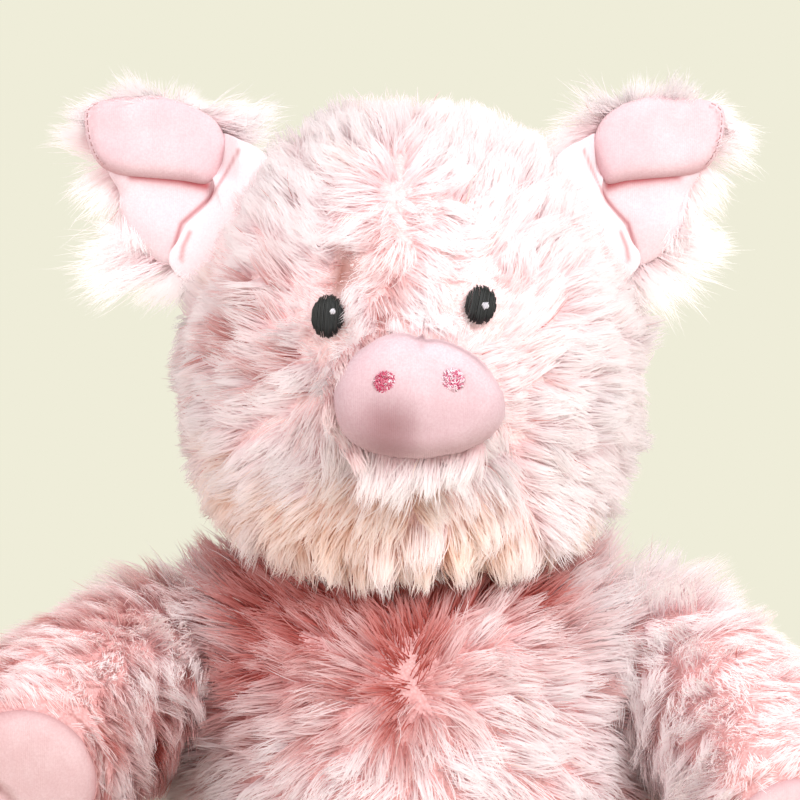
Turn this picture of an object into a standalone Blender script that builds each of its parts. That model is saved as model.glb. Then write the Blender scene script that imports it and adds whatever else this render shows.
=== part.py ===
# A seated plush pig: covers of long-pile fabric over stuffing, with sewn-on limbs, ears, snout and tail.
# The pig faces -Y. Left and right are the pig's own, so its left side is at +X.
# The origin is on the floor, in the middle of the seat.
import math

import bmesh
import bpy
from mathutils import Matrix, Vector

# Fabric
GAP = 0.0003                 # between pieces that touch
PILE_WALL = 0.009            # backing and standing pile of the long-pile fabric
VELOUR_WALL = 0.0035         # velour with its lining
SEWN_CLEARANCE = 0.0030      # between the ear's sheets and the head's pile
SWING_CLEARANCE = 0.0012     # between a limb and the body's pile, all through its swing
FLAT_DEPTH = 0.0005          # how far the seat and legs are pressed flat by the floor

# Body: floor to the top of the shoulders
BODY_HEIGHT = 0.1685
BODY_HALF_WIDTH = 0.0930
BODY_FRONT = 0.0760
BODY_BACK = 0.0800
BODY_SHARES = (
    (0.000, 0.480, 0.450, 0.480, 0.000),
    (0.000, 0.720, 0.700, 0.740, 0.000),
    (0.080, 0.910, 0.890, 0.920, 0.000),
    (0.280, 1.010, 1.010, 1.010, 0.000),
    (0.520, 0.930, 0.965, 0.960, 0.000),
    (0.740, 0.840, 0.860, 0.880, 0.000),
    (0.920, 0.770, 0.730, 0.820, 0.000),
    (1.000, 0.560, 0.510, 0.640, 0.000),
)
SEAT_PANEL_HALF_WIDTH = 0.0460
SEAT_PANEL_HALF_DEPTH = 0.0380
POUCH_TOP = 0.0340           # the pellets fill the seat up to here

# Neck: a dome on the body, the sewn band and a hollow in the head, about one centre
NECK_DROP = 0.0085           # the neck's centre below the shoulders
NECK_HEIGHT = BODY_HEIGHT - NECK_DROP
NECK_BACK = 0.0080
NECK_RADIUS = 0.0400
BAND_WALL = 0.0030
BAND_RISE = 0.0200           # from the neck's centre to the band's lower edge
BAND_WIDTH = 0.0095

# Head: chin to crown, and from the neck's axis to the face and the nape
CHIN_RISE = 0.0060           # the chin above the shoulders
CHIN_HEIGHT = BODY_HEIGHT + CHIN_RISE
HEAD_HEIGHT = 0.1535
HEAD_HALF_WIDTH = 0.0740
HEAD_FRONT = 0.0700
HEAD_BACK = 0.0650
# height, half width, front, back, lift of the nape
HEAD_SHARES = (
    (0.000, 0.400, 0.650, 0.120, 0.060),
    (0.045, 0.700, 0.850, 0.460, 0.080),
    (0.160, 0.900, 0.965, 0.760, 0.050),
    (0.340, 1.000, 1.005, 0.950, 0.000),
    (0.540, 1.005, 0.985, 1.005, 0.000),
    (0.715, 0.930, 0.865, 0.955, 0.000),
    (0.865, 0.715, 0.620, 0.760, 0.000),
    (0.975, 0.340, 0.280, 0.360, 0.000),
)

# Snout, on the face
SNOUT_SIDE = 0.0022          # its centre lies a little to the pig's left
SNOUT_RISE = 0.0600          # its centre above the chin
SNOUT_HEIGHT = CHIN_HEIGHT + SNOUT_RISE
SNOUT_HALF_WIDTH = 0.0258
SNOUT_HALF_HEIGHT = 0.0192
SNOUT_STAND = 0.0230         # how far it stands out past the face
SNOUT_FRONT = HEAD_FRONT + SNOUT_STAND
SNOUT_LENGTH = 0.0430        # from inside the head's pile to the front
# along the length, and the size of the outline there
SNOUT_SHARES = ((0.00, 1.04), (0.78, 1.02), (0.95, 0.90), (1.00, 0.62))
NOSTRIL_RADIUS = 0.0036
NOSTRIL_RAISE = 0.0010
# across and up from the snout's centre
NOSTRIL_OFFSETS = {"right": (-0.0105, 0.0042), "left": (0.0104, 0.0050)}

# Eyes: embroidered ovals, placed one by one because the face is tipped a little
EYE_HALF_WIDTHS = {"right": 0.0051, "left": 0.0048}
EYE_HALF_HEIGHTS = {"right": 0.0065, "left": 0.0059}
# across from the middle and up from the chin
EYE_OFFSETS = {"right": (-0.0258, 0.0846), "left": (0.0211, 0.0881)}
EYE_RAISE = 0.0016
HIGHLIGHT_RADIUS = 0.0012
HIGHLIGHT_RAISE = 0.0008
HIGHLIGHT_OFFSETS = {"right": (0.0012, 0.0013), "left": (0.0017, -0.0002)}
EMBROIDERY_REACH = 0.0120    # depth of the tool that outlines an embroidered spot

# Ears: a long-pile back and a velour front on a sewn root
EAR_SINK = 0.0210            # how far the inner edge lies inside the head's side
EAR_INNER = HEAD_HALF_WIDTH - EAR_SINK
EAR_REACH = 0.0480
EAR_RISE = 0.1015            # above the chin
EAR_BOTTOM = CHIN_HEIGHT + EAR_RISE
EAR_HEIGHT = 0.0525
EAR_BACK_SET = 0.0040        # the root lies this far behind the neck's axis line
EAR_ROOT_RADIUS = 0.0090
EAR_LINING_THICKNESS = 0.0060
EAR_BACK_THICKNESS = 0.0100
EAR_FRINGE = 0.0055          # how far the back's pile stands past the lining's edge
# across the reach and up the height, from the root's top round the tip to the root's foot
EAR_OUTLINE_SHARES = (
    (-0.06, 0.66), (0.12, 0.86), (0.33, 0.99), (0.60, 1.05), (0.88, 1.02), (1.03, 0.90),
    (1.05, 0.67), (0.98, 0.44), (0.85, 0.23), (0.71, 0.05), (0.52, -0.05), (0.27, 0.04),
)
EAR_MIDDLE_SHARES = (0.55, 0.55)
EAR_PUFF_SHARES = ((-0.50, 0.70), (0.00, 1.00), (0.50, 0.70))

# Arms: a shoulder ball, then the middle line out to the hand's end, for the pig's right arm
SHOULDER_RADIUS = 0.0355
SHOULDERS_HALF_SPACE = 0.0245   # half the stuffing left between the two shoulders
SHOULDER_SIDE = SHOULDER_RADIUS + SHOULDERS_HALF_SPACE
SHOULDER_BACK = 0.0100
SHOULDER_DROP = 0.0225
SHOULDER_HEIGHT = BODY_HEIGHT - SHOULDER_DROP
ARM_REACHES = (0.0000, 0.0280, 0.0500, 0.0580, 0.0590)       # outward from the shoulder
ARM_FORWARDS = (0.0000, 0.0160, 0.0560, 0.0940, 0.1030)
ARM_DROPS = (0.0000, 0.0020, 0.0130, 0.0255, 0.0285)
ARM_RADII = (0.0260, 0.0305, 0.0350, 0.0330, 0.0230)
HAND_PAD_RADIUS = 0.0225
ARM_SWINGS_DEG = {"right": (-12.0, 16.0, 45.0), "left": (0.0, 28.0, 56.0)}   # down, half way, up
LEFT_ARM_DROP_DEG = 11.0     # the left arm hangs lower than the right

# Legs: a hip ball, then the middle line out to the sole
HIP_RADIUS = 0.0355
HIPS_HALF_SPACE = 0.0165     # half the stuffing left between the two hips
HIP_SIDE = HIP_RADIUS + HIPS_HALF_SPACE
HIP_FRONT_INSET = 0.0240
HIP_FRONT = BODY_FRONT - HIP_FRONT_INSET
HIP_LIFT = 0.0020            # between the hip ball and the floor
LEG_REACHES = (0.0000, 0.0090, 0.0195, 0.0255, 0.0265)
LEG_FORWARDS = (0.0000, 0.0380, 0.0770, 0.1050, 0.1140)
LEG_RADII = (0.0330, 0.0350, 0.0370, 0.0365, 0.0255)
LEG_LIFT_SHARES = (0.000, 0.000, 0.000, 0.025, 0.330)                # above lying flat
LEG_PRESS_SHARE = 0.030      # makes up for what the subdivision takes off the underside
FOOT_PAD_RADIUS = 0.0245
LEG_SWINGS_DEG = (-30.0, -11.0, 8.0)

# Tail: a curl from a small sewn root
TAIL_HEIGHT = 0.0560
TAIL_ROOT_RADIUS = 0.0075
TAIL_RADIUS = 0.0048
TAIL_CURL_RADIUS = 0.0085
TAIL_LENGTH = 0.0150
TAIL_TURNS = 1.1
TAIL_STATIONS = 7
TAIL_TIP_SHARE = 0.55

# Mesh counts and the room round the cutting tools
FORM_SIDES = 12
RING_TURN_SHARE = 0.25       # of a step, which keeps the rings' corners off the middle seam
FORM_CORE_SIDES = 8
LIMB_SIDES = 8
TAIL_SIDES = 6
ROUND_SIDES = 14
BALL_RINGS = 8
WALL_SIDES = 10
WALL_BALL_RINGS = 6
PAD_SIDES = 14
SPOT_SIDES = 12
TOOL_REACH = 0.4000
ROOT_MARGIN = 0.0001         # the limbs' cutting forms stay this clear of the root balls

SIDES = {"left": 1, "right": -1}

COLOURS = {
    "head_pile": (0.93, 0.79, 0.78),
    "body_pile": (0.88, 0.66, 0.67),
    "velour": (0.92, 0.72, 0.73),
    "stuffing": (0.95, 0.95, 0.93),
    "pellets": (0.85, 0.87, 0.90),
    "eye": (0.02, 0.02, 0.03),
    "white": (0.95, 0.95, 0.97),
    "nostril": (0.80, 0.33, 0.42),
    "seam": (0.85, 0.60, 0.62),
}
FABRIC_ROUGHNESS = 0.9
THREAD_ROUGHNESS = 0.45

SEAT = Vector((0, 0, 0))
NECK = Vector((0, NECK_BACK, NECK_HEIGHT))
TAIL_ROOT = Vector((0, BODY_BACK - TAIL_ROOT_RADIUS / 2, TAIL_HEIGHT))


def shoulder(side):
    return Vector((SIDES[side] * SHOULDER_SIDE, SHOULDER_BACK, SHOULDER_HEIGHT))


def hip(side):
    return Vector((SIDES[side] * HIP_SIDE, -HIP_FRONT, HIP_RADIUS + HIP_LIFT))


def ear_point(side, across, up):
    """A point of the ear's middle plane, from shares of its reach and height."""
    return Vector((SIDES[side] * (EAR_INNER + across * EAR_REACH), EAR_BACK_SET, EAR_BOTTOM + up * EAR_HEIGHT))


def ear_root_ends(side):
    """The foot and the top of the ear's sewn root."""
    return ear_point(side, *EAR_OUTLINE_SHARES[-1]), ear_point(side, *EAR_OUTLINE_SHARES[0])


def ear_root(side):
    foot, top = ear_root_ends(side)
    return (foot + top) / 2


# Scene set-up

def clear_scene():
    for item in list(bpy.data.objects):
        bpy.data.objects.remove(item)


def new_collection(name):
    collection = bpy.data.collections.new(name)
    bpy.context.scene.collection.children.link(collection)
    return collection


clear_scene()
PARTS = new_collection("plush_pig")
TOOLS = new_collection("cutters")


def new_anchor(name, place):
    """An empty on a joint's axis, which carries the pieces that move about it."""
    anchor = bpy.data.objects.new(name, None)
    anchor.location = place
    PARTS.objects.link(anchor)
    return anchor


def new_material(name, colour):
    material = bpy.data.materials.new(name)
    material.use_nodes = True
    shader = material.node_tree.nodes["Principled BSDF"]
    shader.inputs["Base Color"].default_value = (*COLOURS[colour], 1)
    shader.inputs["Metallic"].default_value = 0
    thread = colour in ("eye", "white", "nostril")
    shader.inputs["Roughness"].default_value = THREAD_ROUGHNESS if thread else FABRIC_ROUGHNESS
    material.diffuse_color = (*COLOURS[colour], 1)
    return material


def add_piece(name, mesh, anchor, colour):
    """A sub-part of the toy: its mesh is given in world places and is stored about its anchor."""
    mesh.transform(Matrix.Translation(-anchor.location))
    mesh.materials.append(new_material(name, colour))
    mesh.shade_smooth()
    mesh.set_sharp_from_angle(angle=math.radians(50))
    piece = bpy.data.objects.new(name, mesh)
    piece.parent = anchor
    PARTS.objects.link(piece)
    return piece


def add_tool(name, mesh):
    tool = bpy.data.objects.new(name, mesh)
    tool.hide_render = True
    tool.display_type = "WIRE"
    TOOLS.objects.link(tool)
    return tool


def subdivide(item):
    modifier = item.modifiers.new("soft_form", "SUBSURF")
    modifier.levels = 1
    modifier.render_levels = 1
    return item


def combine(item, tool, operation):
    modifier = item.modifiers.new(operation.lower() + "_" + tool.name, "BOOLEAN")
    modifier.operation = operation
    modifier.object = tool
    modifier.solver = "EXACT"
    return item


def cut(item, *tools):
    for tool in tools:
        combine(item, tool, "DIFFERENCE")
    return item


def join(item, tool):
    return combine(item, tool, "UNION")


def keep(item, tool):
    return combine(item, tool, "INTERSECT")


# Mesh makers

def finished_mesh(name, form):
    bmesh.ops.recalc_face_normals(form, faces=form.faces)
    mesh = bpy.data.meshes.new(name)
    form.to_mesh(mesh)
    form.free()
    return mesh


def ring_mesh(name, rings):
    """A closed cage through rings of points, with one point in the middle of each end."""
    form = bmesh.new()
    loops = [[form.verts.new(point) for point in ring] for ring in rings]
    for near, far in zip(loops, loops[1:]):
        for index, corner in enumerate(near):
            after = (index + 1) % len(near)
            form.faces.new((corner, near[after], far[after], far[index]))
    for loop in (loops[0], loops[-1]):
        middle = form.verts.new(sum((corner.co for corner in loop), Vector()) / len(loop))
        for index, corner in enumerate(loop):
            form.faces.new((corner, loop[(index + 1) % len(loop)], middle))
    return finished_mesh(name, form)


def ball_mesh(name, centre, radius, room=0.0, fine=True, poles="X"):
    """A ball with its poles on an axis. Room makes a hollow that the ball can turn in about it."""
    form = bmesh.new()
    sides = ROUND_SIDES if fine else WALL_SIDES
    rings = BALL_RINGS if fine else WALL_BALL_RINGS
    bmesh.ops.create_uvsphere(form, u_segments=sides, v_segments=rings, radius=radius + room)
    if room:
        widening = 1 / math.cos(math.pi / sides)
        bmesh.ops.scale(form, verts=form.verts, vec=(widening, widening, 1))
    if poles == "X":
        bmesh.ops.rotate(form, verts=form.verts, matrix=Matrix.Rotation(math.pi / 2, 3, "Y"))
    bmesh.ops.translate(form, verts=form.verts, vec=centre)
    return finished_mesh(name, form)


def rod_mesh(name, start, end, radius, sides, squash=1.0):
    """A straight rod with flat ends. Squash narrows or widens it across its first direction."""
    form = bmesh.new()
    line = end - start
    bmesh.ops.create_cone(
        form, cap_ends=True, segments=sides, radius1=radius, radius2=radius, depth=line.length
    )
    bmesh.ops.scale(form, verts=form.verts, vec=(squash, 1, 1))
    turn = Vector((0, 0, 1)).rotation_difference(line).to_matrix()
    bmesh.ops.rotate(form, verts=form.verts, matrix=turn)
    bmesh.ops.translate(form, verts=form.verts, vec=(start + end) / 2)
    return finished_mesh(name, form)


def block_mesh(name, low, high):
    form = bmesh.new()
    bmesh.ops.create_cube(form, size=1)
    bmesh.ops.scale(form, verts=form.verts, vec=high - low)
    bmesh.ops.translate(form, verts=form.verts, vec=(low + high) / 2)
    return finished_mesh(name, form)


# Soft forms, each as rings of points; inset gives the form that lies inside it

def stacked_rings(shares, bottom, height, half_width, front, back, inset):
    """Level rings up a head or a body. The shrink of the subdivision is made up for."""
    sides = FORM_CORE_SIDES if inset > 0 else FORM_SIDES
    swell = 1 / math.cos(math.pi / sides)
    shrink = 1 - 2 * inset / height
    rings = []
    for up_share, width_share, front_share, back_share, lift_share in shares:
        level = bottom + height / 2 + (up_share * height - height / 2) * shrink
        wide = (width_share * half_width - inset) * swell
        ahead = front_share * front
        behind = back_share * back
        deep = ((ahead + behind) / 2 - inset) * swell
        middle = (behind - ahead) / 2
        ring = []
        for index in range(sides):
            angle = math.tau * (index + RING_TURN_SHARE) / sides
            lift = lift_share * height * (1 + math.sin(angle)) / 2
            ring.append(Vector((wide * math.cos(angle), middle + deep * math.sin(angle), level + lift)))
        rings.append(ring)
    return rings


def head_rings(inset):
    return stacked_rings(
        HEAD_SHARES, CHIN_HEIGHT, HEAD_HEIGHT, HEAD_HALF_WIDTH, HEAD_FRONT, HEAD_BACK, inset
    )


def body_rings(inset):
    height = BODY_HEIGHT + FLAT_DEPTH
    return stacked_rings(
        BODY_SHARES, -FLAT_DEPTH, height, BODY_HALF_WIDTH, BODY_FRONT, BODY_BACK, inset
    )


def tube_rings(stations, radii, sides, inset=0.0, squash=1.0):
    """Rings square to a bent middle line. The inset form is short by the inset at both ends."""
    swell = 1 / math.cos(math.pi / sides)
    last = len(stations) - 1
    rings = []
    for index, (station, radius) in enumerate(zip(stations, radii)):
        ahead = stations[min(index + 1, last)] - stations[max(index - 1, 0)]
        ahead.normalize()
        across = ahead.cross(Vector((0, 0, 1))).normalized()
        up = across.cross(ahead)
        middle = station + ahead * (inset * (1 - 2 * index / last))
        size = (radius - inset) * swell
        tall = (radius * squash - inset) * swell
        ring = []
        for corner in range(sides):
            angle = math.tau * (corner + 0.5) / sides
            ring.append(middle + across * (size * math.cos(angle)) + up * (tall * math.sin(angle)))
        rings.append(ring)
    return rings


def arm_stations(side):
    """The arm's middle line. The left arm is the right one mirrored, then swung down a little."""
    root = shoulder(side)
    drop = math.radians(LEFT_ARM_DROP_DEG) if side == "left" else 0
    swing = Matrix.Rotation(drop, 3, "X")
    stations = []
    for reach, forward, fall in zip(ARM_REACHES, ARM_FORWARDS, ARM_DROPS):
        offset = Vector((SIDES[side] * reach, -forward, -fall))
        stations.append(root + swing @ offset)
    return stations


def leg_stations(side):
    """The leg's middle line, at the height where its underside is pressed on the floor."""
    root = hip(side)
    stations = []
    for reach, forward, radius, lift in zip(LEG_REACHES, LEG_FORWARDS, LEG_RADII, LEG_LIFT_SHARES):
        level = radius * (1 - LEG_PRESS_SHARE + lift) - FLAT_DEPTH
        stations.append(Vector((root.x + SIDES[side] * reach, root.y - forward, level)))
    return stations


def snout_stations():
    middle = Vector((SNOUT_SIDE, -SNOUT_FRONT, SNOUT_HEIGHT))
    return [middle + Vector((0, SNOUT_LENGTH * (1 - along), 0)) for along, _ in SNOUT_SHARES]


def snout_rings(inset):
    radii = [SNOUT_HALF_WIDTH * size for _, size in SNOUT_SHARES]
    flatness = SNOUT_HALF_HEIGHT / SNOUT_HALF_WIDTH
    sides = FORM_CORE_SIDES if inset > 0 else FORM_SIDES
    return tube_rings(snout_stations(), radii, sides, inset, flatness)


def tail_stations():
    """One curl behind the root, in a plane that leans back."""
    stations = [TAIL_ROOT]
    for index in range(1, TAIL_STATIONS):
        part = index / (TAIL_STATIONS - 1)
        angle = math.tau * TAIL_TURNS * part
        side = TAIL_CURL_RADIUS * math.sin(angle)
        rise = TAIL_CURL_RADIUS * (1 - math.cos(angle))
        behind = TAIL_ROOT_RADIUS / 2 + TAIL_LENGTH * (part + math.sin(math.pi * part) / 2)
        stations.append(TAIL_ROOT + Vector((side, behind, rise)))
    return stations


def ear_rings(side, thickness, front_face, spread):
    """Outlines of the ear stacked from front to back, smaller towards both faces."""
    middle = ear_point(side, *EAR_MIDDLE_SHARES)
    rings = []
    for depth_share, size_share in EAR_PUFF_SHARES:
        ring = []
        for across, up in EAR_OUTLINE_SHARES:
            arm = ear_point(side, across, up) - middle
            place = middle + arm * size_share + arm.normalized() * (spread * size_share)
            place.y = front_face + (depth_share + 0.5) * thickness
            ring.append(place)
        rings.append(ring)
    return rings


# Anchors: each carries the pieces that move as one

TORSO = new_anchor("torso_anchor", SEAT)
NECK_TURN = new_anchor("neck_anchor", NECK)
HEAD = new_anchor("head_anchor", NECK)


def floor_tool():
    """Everything below the floor."""
    reach = Vector((TOOL_REACH, TOOL_REACH, 0))
    return add_tool("floor", block_mesh("floor", -reach - Vector((0, 0, TOOL_REACH)), reach))


def other_half_tool(name, side):
    """What lies across the middle seam from a side."""
    near = GAP / 2
    low = Vector((-TOOL_REACH if SIDES[side] > 0 else -near, -TOOL_REACH, -TOOL_REACH))
    high = Vector((near if SIDES[side] > 0 else TOOL_REACH, TOOL_REACH, TOOL_REACH))
    return add_tool(name, block_mesh(name, low, high))


def level_tool(name, bottom, top):
    low = Vector((-TOOL_REACH, -TOOL_REACH, bottom))
    high = Vector((TOOL_REACH, TOOL_REACH, top))
    return add_tool(name, block_mesh(name, low, high))


def sockets(prefix, wall):
    """The hollows that the limbs and the tail turn in, with the wall of the cover round them."""
    room = GAP + wall
    fine = wall == 0
    tools = []
    for side in SIDES:
        arm = ball_mesh(prefix + "_shoulder_" + side, shoulder(side), SHOULDER_RADIUS, room, fine)
        leg = ball_mesh(prefix + "_hip_" + side, hip(side), HIP_RADIUS, room, fine)
        tools.append(add_tool(arm.name, arm))
        tools.append(add_tool(leg.name, leg))
    tail = ball_mesh(prefix + "_tail", TAIL_ROOT, TAIL_ROOT_RADIUS, room, fine=False)
    tools.append(add_tool(tail.name, tail))
    return tools


def body_inside(name, wall, as_piece=None):
    """The body's form inside its cover: the stack and the neck's dome, less the sockets' walls."""
    mesh = ring_mesh(name, body_rings(wall))
    item = add_piece(name, mesh, TORSO, as_piece) if as_piece else add_tool(name, mesh)
    subdivide(item)
    dome = ball_mesh(name + "_dome", NECK, NECK_RADIUS - wall, fine=False, poles="Z")
    join(item, add_tool(dome.name, dome))
    cut(item, *sockets(name, wall))
    return item


def head_hollows(prefix, wall):
    """The hollow under the head for the neck, and the channels that the ears' roots lie in."""
    neck = ball_mesh(prefix + "_neck", NECK, NECK_RADIUS + GAP + BAND_WALL, GAP + wall, wall == 0)
    tools = [add_tool(neck.name, neck)]
    for side in SIDES:
        foot, top = ear_root_ends(side)
        along = (top - foot).normalized() * (GAP + wall)
        sides = ROUND_SIDES if wall == 0 else WALL_SIDES
        radius = (EAR_ROOT_RADIUS + GAP + wall) / math.cos(math.pi / sides)
        rod = rod_mesh(prefix + "_ear_" + side, foot - along, top + along, radius, sides)
        tools.append(add_tool(rod.name, rod))
    return tools


def make_head():
    outset = add_tool("face_surface", ring_mesh("face_surface", head_rings(-GAP)))
    subdivide(outset)
    inside = add_tool("head_inside", ring_mesh("head_inside", head_rings(PILE_WALL)))
    subdivide(inside)
    cut(inside, *head_hollows("head_wall", PILE_WALL))
    hollows = head_hollows("head", 0)
    for side in SIDES:
        name = "head_panel_" + side
        panel = add_piece(name, ring_mesh(name, head_rings(0)), HEAD, "head_pile")
        subdivide(panel)
        cut(panel, other_half_tool(name + "_seam", side), inside, *hollows)
    name = "head_stuffing"
    stuffing = add_piece(name, ring_mesh(name, head_rings(PILE_WALL + GAP)), HEAD, "stuffing")
    subdivide(stuffing)
    cut(stuffing, *head_hollows("head_stuffing", PILE_WALL + GAP))
    return outset


def make_neck():
    band_bottom = NECK_HEIGHT + BAND_RISE
    mesh = ball_mesh("neck_seam_band", NECK, NECK_RADIUS + GAP + BAND_WALL)
    band = add_piece("neck_seam_band", mesh, NECK_TURN, "seam")
    dome = ball_mesh("neck_band_inside", NECK, NECK_RADIUS, GAP, poles="Z")
    cut(band, add_tool(dome.name, dome))
    keep(band, level_tool("neck_band_level", band_bottom, band_bottom + BAND_WIDTH))


def spot_mesh(name, place, back, half_width, half_height):
    """An oval rod from in front of the snout back to a level inside what the spot is sewn on."""
    across, up = place
    start = Vector((across, -SNOUT_FRONT - EMBROIDERY_REACH, up))
    end = Vector((across, back, up))
    return rod_mesh(name, start, end, half_height, SPOT_SIDES, half_width / half_height)


def make_snout(face):
    cover = add_piece("snout_cover", ring_mesh("snout_cover", snout_rings(0)), HEAD, "velour")
    subdivide(cover)
    inside = add_tool("snout_inside", ring_mesh("snout_inside", snout_rings(VELOUR_WALL)))
    subdivide(inside)
    cut(cover, inside, face)
    name = "snout_stuffing"
    stuffing = add_piece(name, ring_mesh(name, snout_rings(VELOUR_WALL + GAP)), HEAD, "stuffing")
    subdivide(stuffing)
    cut(stuffing, face)
    surface = add_tool("snout_surface", ring_mesh("snout_surface", snout_rings(-GAP)))
    subdivide(surface)
    snout_middle = SNOUT_LENGTH / 2 - SNOUT_FRONT
    for side in SIDES:
        name = "nostril_" + side
        across, up = NOSTRIL_OFFSETS[side]
        place = (SNOUT_SIDE + across, SNOUT_HEIGHT + up)
        mesh = spot_mesh(name, place, snout_middle, NOSTRIL_RADIUS, NOSTRIL_RADIUS)
        spot = add_piece(name, mesh, HEAD, "nostril")
        raised = add_tool(name + "_front", ring_mesh(name + "_front", snout_rings(-GAP - NOSTRIL_RAISE)))
        subdivide(raised)
        keep(spot, raised)
        cut(spot, surface)


def make_eyes(face):
    eye_front = -GAP - EYE_RAISE
    highlight_back = eye_front - GAP
    fronts = {}
    for name, inset in (
        ("eye_front", eye_front),
        ("highlight_back", highlight_back),
        ("highlight_front", highlight_back - HIGHLIGHT_RAISE),
    ):
        fronts[name] = subdivide(add_tool(name, ring_mesh(name, head_rings(inset))))
    for side in SIDES:
        name = "eye_" + side
        across, up = EYE_OFFSETS[side]
        place = (across, CHIN_HEIGHT + up)
        mesh = spot_mesh(name, place, 0, EYE_HALF_WIDTHS[side], EYE_HALF_HEIGHTS[side])
        eye = add_piece(name, mesh, HEAD, "eye")
        keep(eye, fronts["eye_front"])
        cut(eye, face)
        name = "eye_highlight_" + side
        offset = HIGHLIGHT_OFFSETS[side]
        spot_place = (place[0] + offset[0], place[1] + offset[1])
        mesh = spot_mesh(name, spot_place, 0, HIGHLIGHT_RADIUS, HIGHLIGHT_RADIUS)
        highlight = add_piece(name, mesh, HEAD, "white")
        keep(highlight, fronts["highlight_front"])
        cut(highlight, fronts["highlight_back"])


def make_ears():
    clear_of_head = add_tool("ear_clearance", ring_mesh("ear_clearance", head_rings(-SEWN_CLEARANCE)))
    subdivide(clear_of_head)
    for side in SIDES:
        anchor = new_anchor("ear_anchor_" + side, ear_root(side))
        foot, top = ear_root_ends(side)
        lining_face = EAR_BACK_SET - EAR_ROOT_RADIUS
        back_face = lining_face + EAR_LINING_THICKNESS + GAP
        name = "ear_back_" + side
        mesh = ring_mesh(name, ear_rings(side, EAR_BACK_THICKNESS, back_face, EAR_FRINGE))
        back = add_piece(name, mesh, anchor, "head_pile")
        subdivide(back)
        cut(back, clear_of_head)
        root = rod_mesh(name + "_root", foot, top, EAR_ROOT_RADIUS, ROUND_SIDES)
        join(back, add_tool(root.name, root))
        name = "ear_lining_" + side
        mesh = ring_mesh(name, ear_rings(side, EAR_LINING_THICKNESS, lining_face, 0))
        lining = add_piece(name, mesh, anchor, "velour")
        subdivide(lining)
        along = (top - foot).normalized() * GAP
        room = rod_mesh(name + "_root", foot - along, top + along, EAR_ROOT_RADIUS + GAP, ROUND_SIDES)
        cut(lining, clear_of_head, add_tool(room.name, room))


def seat_prism(name, room, top):
    """The upright oval that outlines the seat panel."""
    half_width = SEAT_PANEL_HALF_WIDTH + room
    half_depth = SEAT_PANEL_HALF_DEPTH + room
    start = Vector((0, 0, 0 if room == 0 else -top))
    return rod_mesh(name, start, Vector((0, 0, top)), half_depth, PAD_SIDES, half_width / half_depth)


def make_body(floor):
    inside = body_inside("body_inside", PILE_WALL)
    hollows = sockets("body", 0)
    dome = ball_mesh("body_dome", NECK, NECK_RADIUS, poles="Z")
    dome = add_tool(dome.name, dome)
    prism_top = PILE_WALL + VELOUR_WALL
    prism = seat_prism("seat_room", GAP, prism_top)
    prism = add_tool(prism.name, prism)
    for side in SIDES:
        name = "body_panel_" + side
        panel = add_piece(name, ring_mesh(name, body_rings(0)), TORSO, "body_pile")
        subdivide(panel)
        join(panel, dome)
        cut(panel, other_half_tool(name + "_seam", side), inside, *hollows, prism, floor)
    form = subdivide(add_tool("seat_form", ring_mesh("seat_form", body_rings(0))))
    panel = add_piece("seat_panel", seat_prism("seat_panel", 0, prism_top), TORSO, "body_pile")
    keep(panel, form)
    cut(panel, inside, *hollows)
    stuffing = body_inside("body_stuffing", PILE_WALL + GAP, "stuffing")
    keep(stuffing, level_tool("stuffing_level", POUCH_TOP + GAP, TOOL_REACH))
    pouch = body_inside("pellet_pouch", PILE_WALL + GAP, "pellets")
    keep(pouch, level_tool("pouch_level", 0, POUCH_TOP))


def limb_form(name, stations, radii, inset=0.0, anchor=None, colour=None):
    """A tube along the limb, as a piece if it has an anchor or as a tool."""
    mesh = ring_mesh(name, tube_rings(stations, radii, LIMB_SIDES, inset))
    item = add_piece(name, mesh, anchor, colour) if anchor else add_tool(name, mesh)
    return subdivide(item)


def add_root(limb, centre, radius, fine=True):
    """Joins the round root that the limb turns on in its socket."""
    root = ball_mesh(limb.name + "_root", centre, radius, fine=fine)
    return join(limb, add_tool(root.name, root))


def body_clearances(prefix, centre, radius, swings):
    """The body's form turned back through a limb's swing, so that the limb clears it all the way."""
    tools = []
    for index, swing in enumerate(swings):
        name = prefix + "_clearance_" + str(index)
        mesh = ring_mesh(name, body_rings(-SWING_CLEARANCE))
        turn = Matrix.Rotation(math.radians(swing), 4, "X")
        mesh.transform(Matrix.Translation(centre) @ turn @ Matrix.Translation(-centre))
        tool = subdivide(add_tool(name, mesh))
        root = ball_mesh(name + "_root", centre, radius + ROOT_MARGIN)
        tools.append(cut(tool, add_tool(root.name, root)))
    return tools


def make_limb(names, anchor, stations, radii, ball, ball_radius, pad_radius, swings, floor):
    """Sleeve, stuffing and end pad of an arm or a leg."""
    sleeve_name, stuffing_name, pad_name = names
    wall = PILE_WALL
    ahead = (stations[-1] - stations[-2]).normalized()
    tip = stations[-1] + ahead * wall
    pad_start = stations[-1] - ahead * (2 * wall)
    inside = limb_form(sleeve_name + "_inside", stations, radii, wall)
    outside = limb_form(pad_name + "_outside", stations, radii)
    room = rod_mesh(pad_name + "_room", pad_start, tip, pad_radius + GAP, PAD_SIDES)
    room = add_tool(room.name, room)
    sleeve = limb_form(sleeve_name, stations, radii, 0, anchor, "body_pile")
    add_root(sleeve, ball, ball_radius)
    clearances = body_clearances(sleeve_name, ball, ball_radius, swings)
    cut(sleeve, inside, room, *clearances)
    limb_form(stuffing_name, stations, radii, wall + GAP, anchor, "stuffing")
    pad = add_piece(pad_name, rod_mesh(pad_name, pad_start, tip, pad_radius, PAD_SIDES), anchor, "velour")
    keep(pad, outside)
    cut(pad, inside)
    if floor:
        cut(sleeve, floor)


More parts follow.
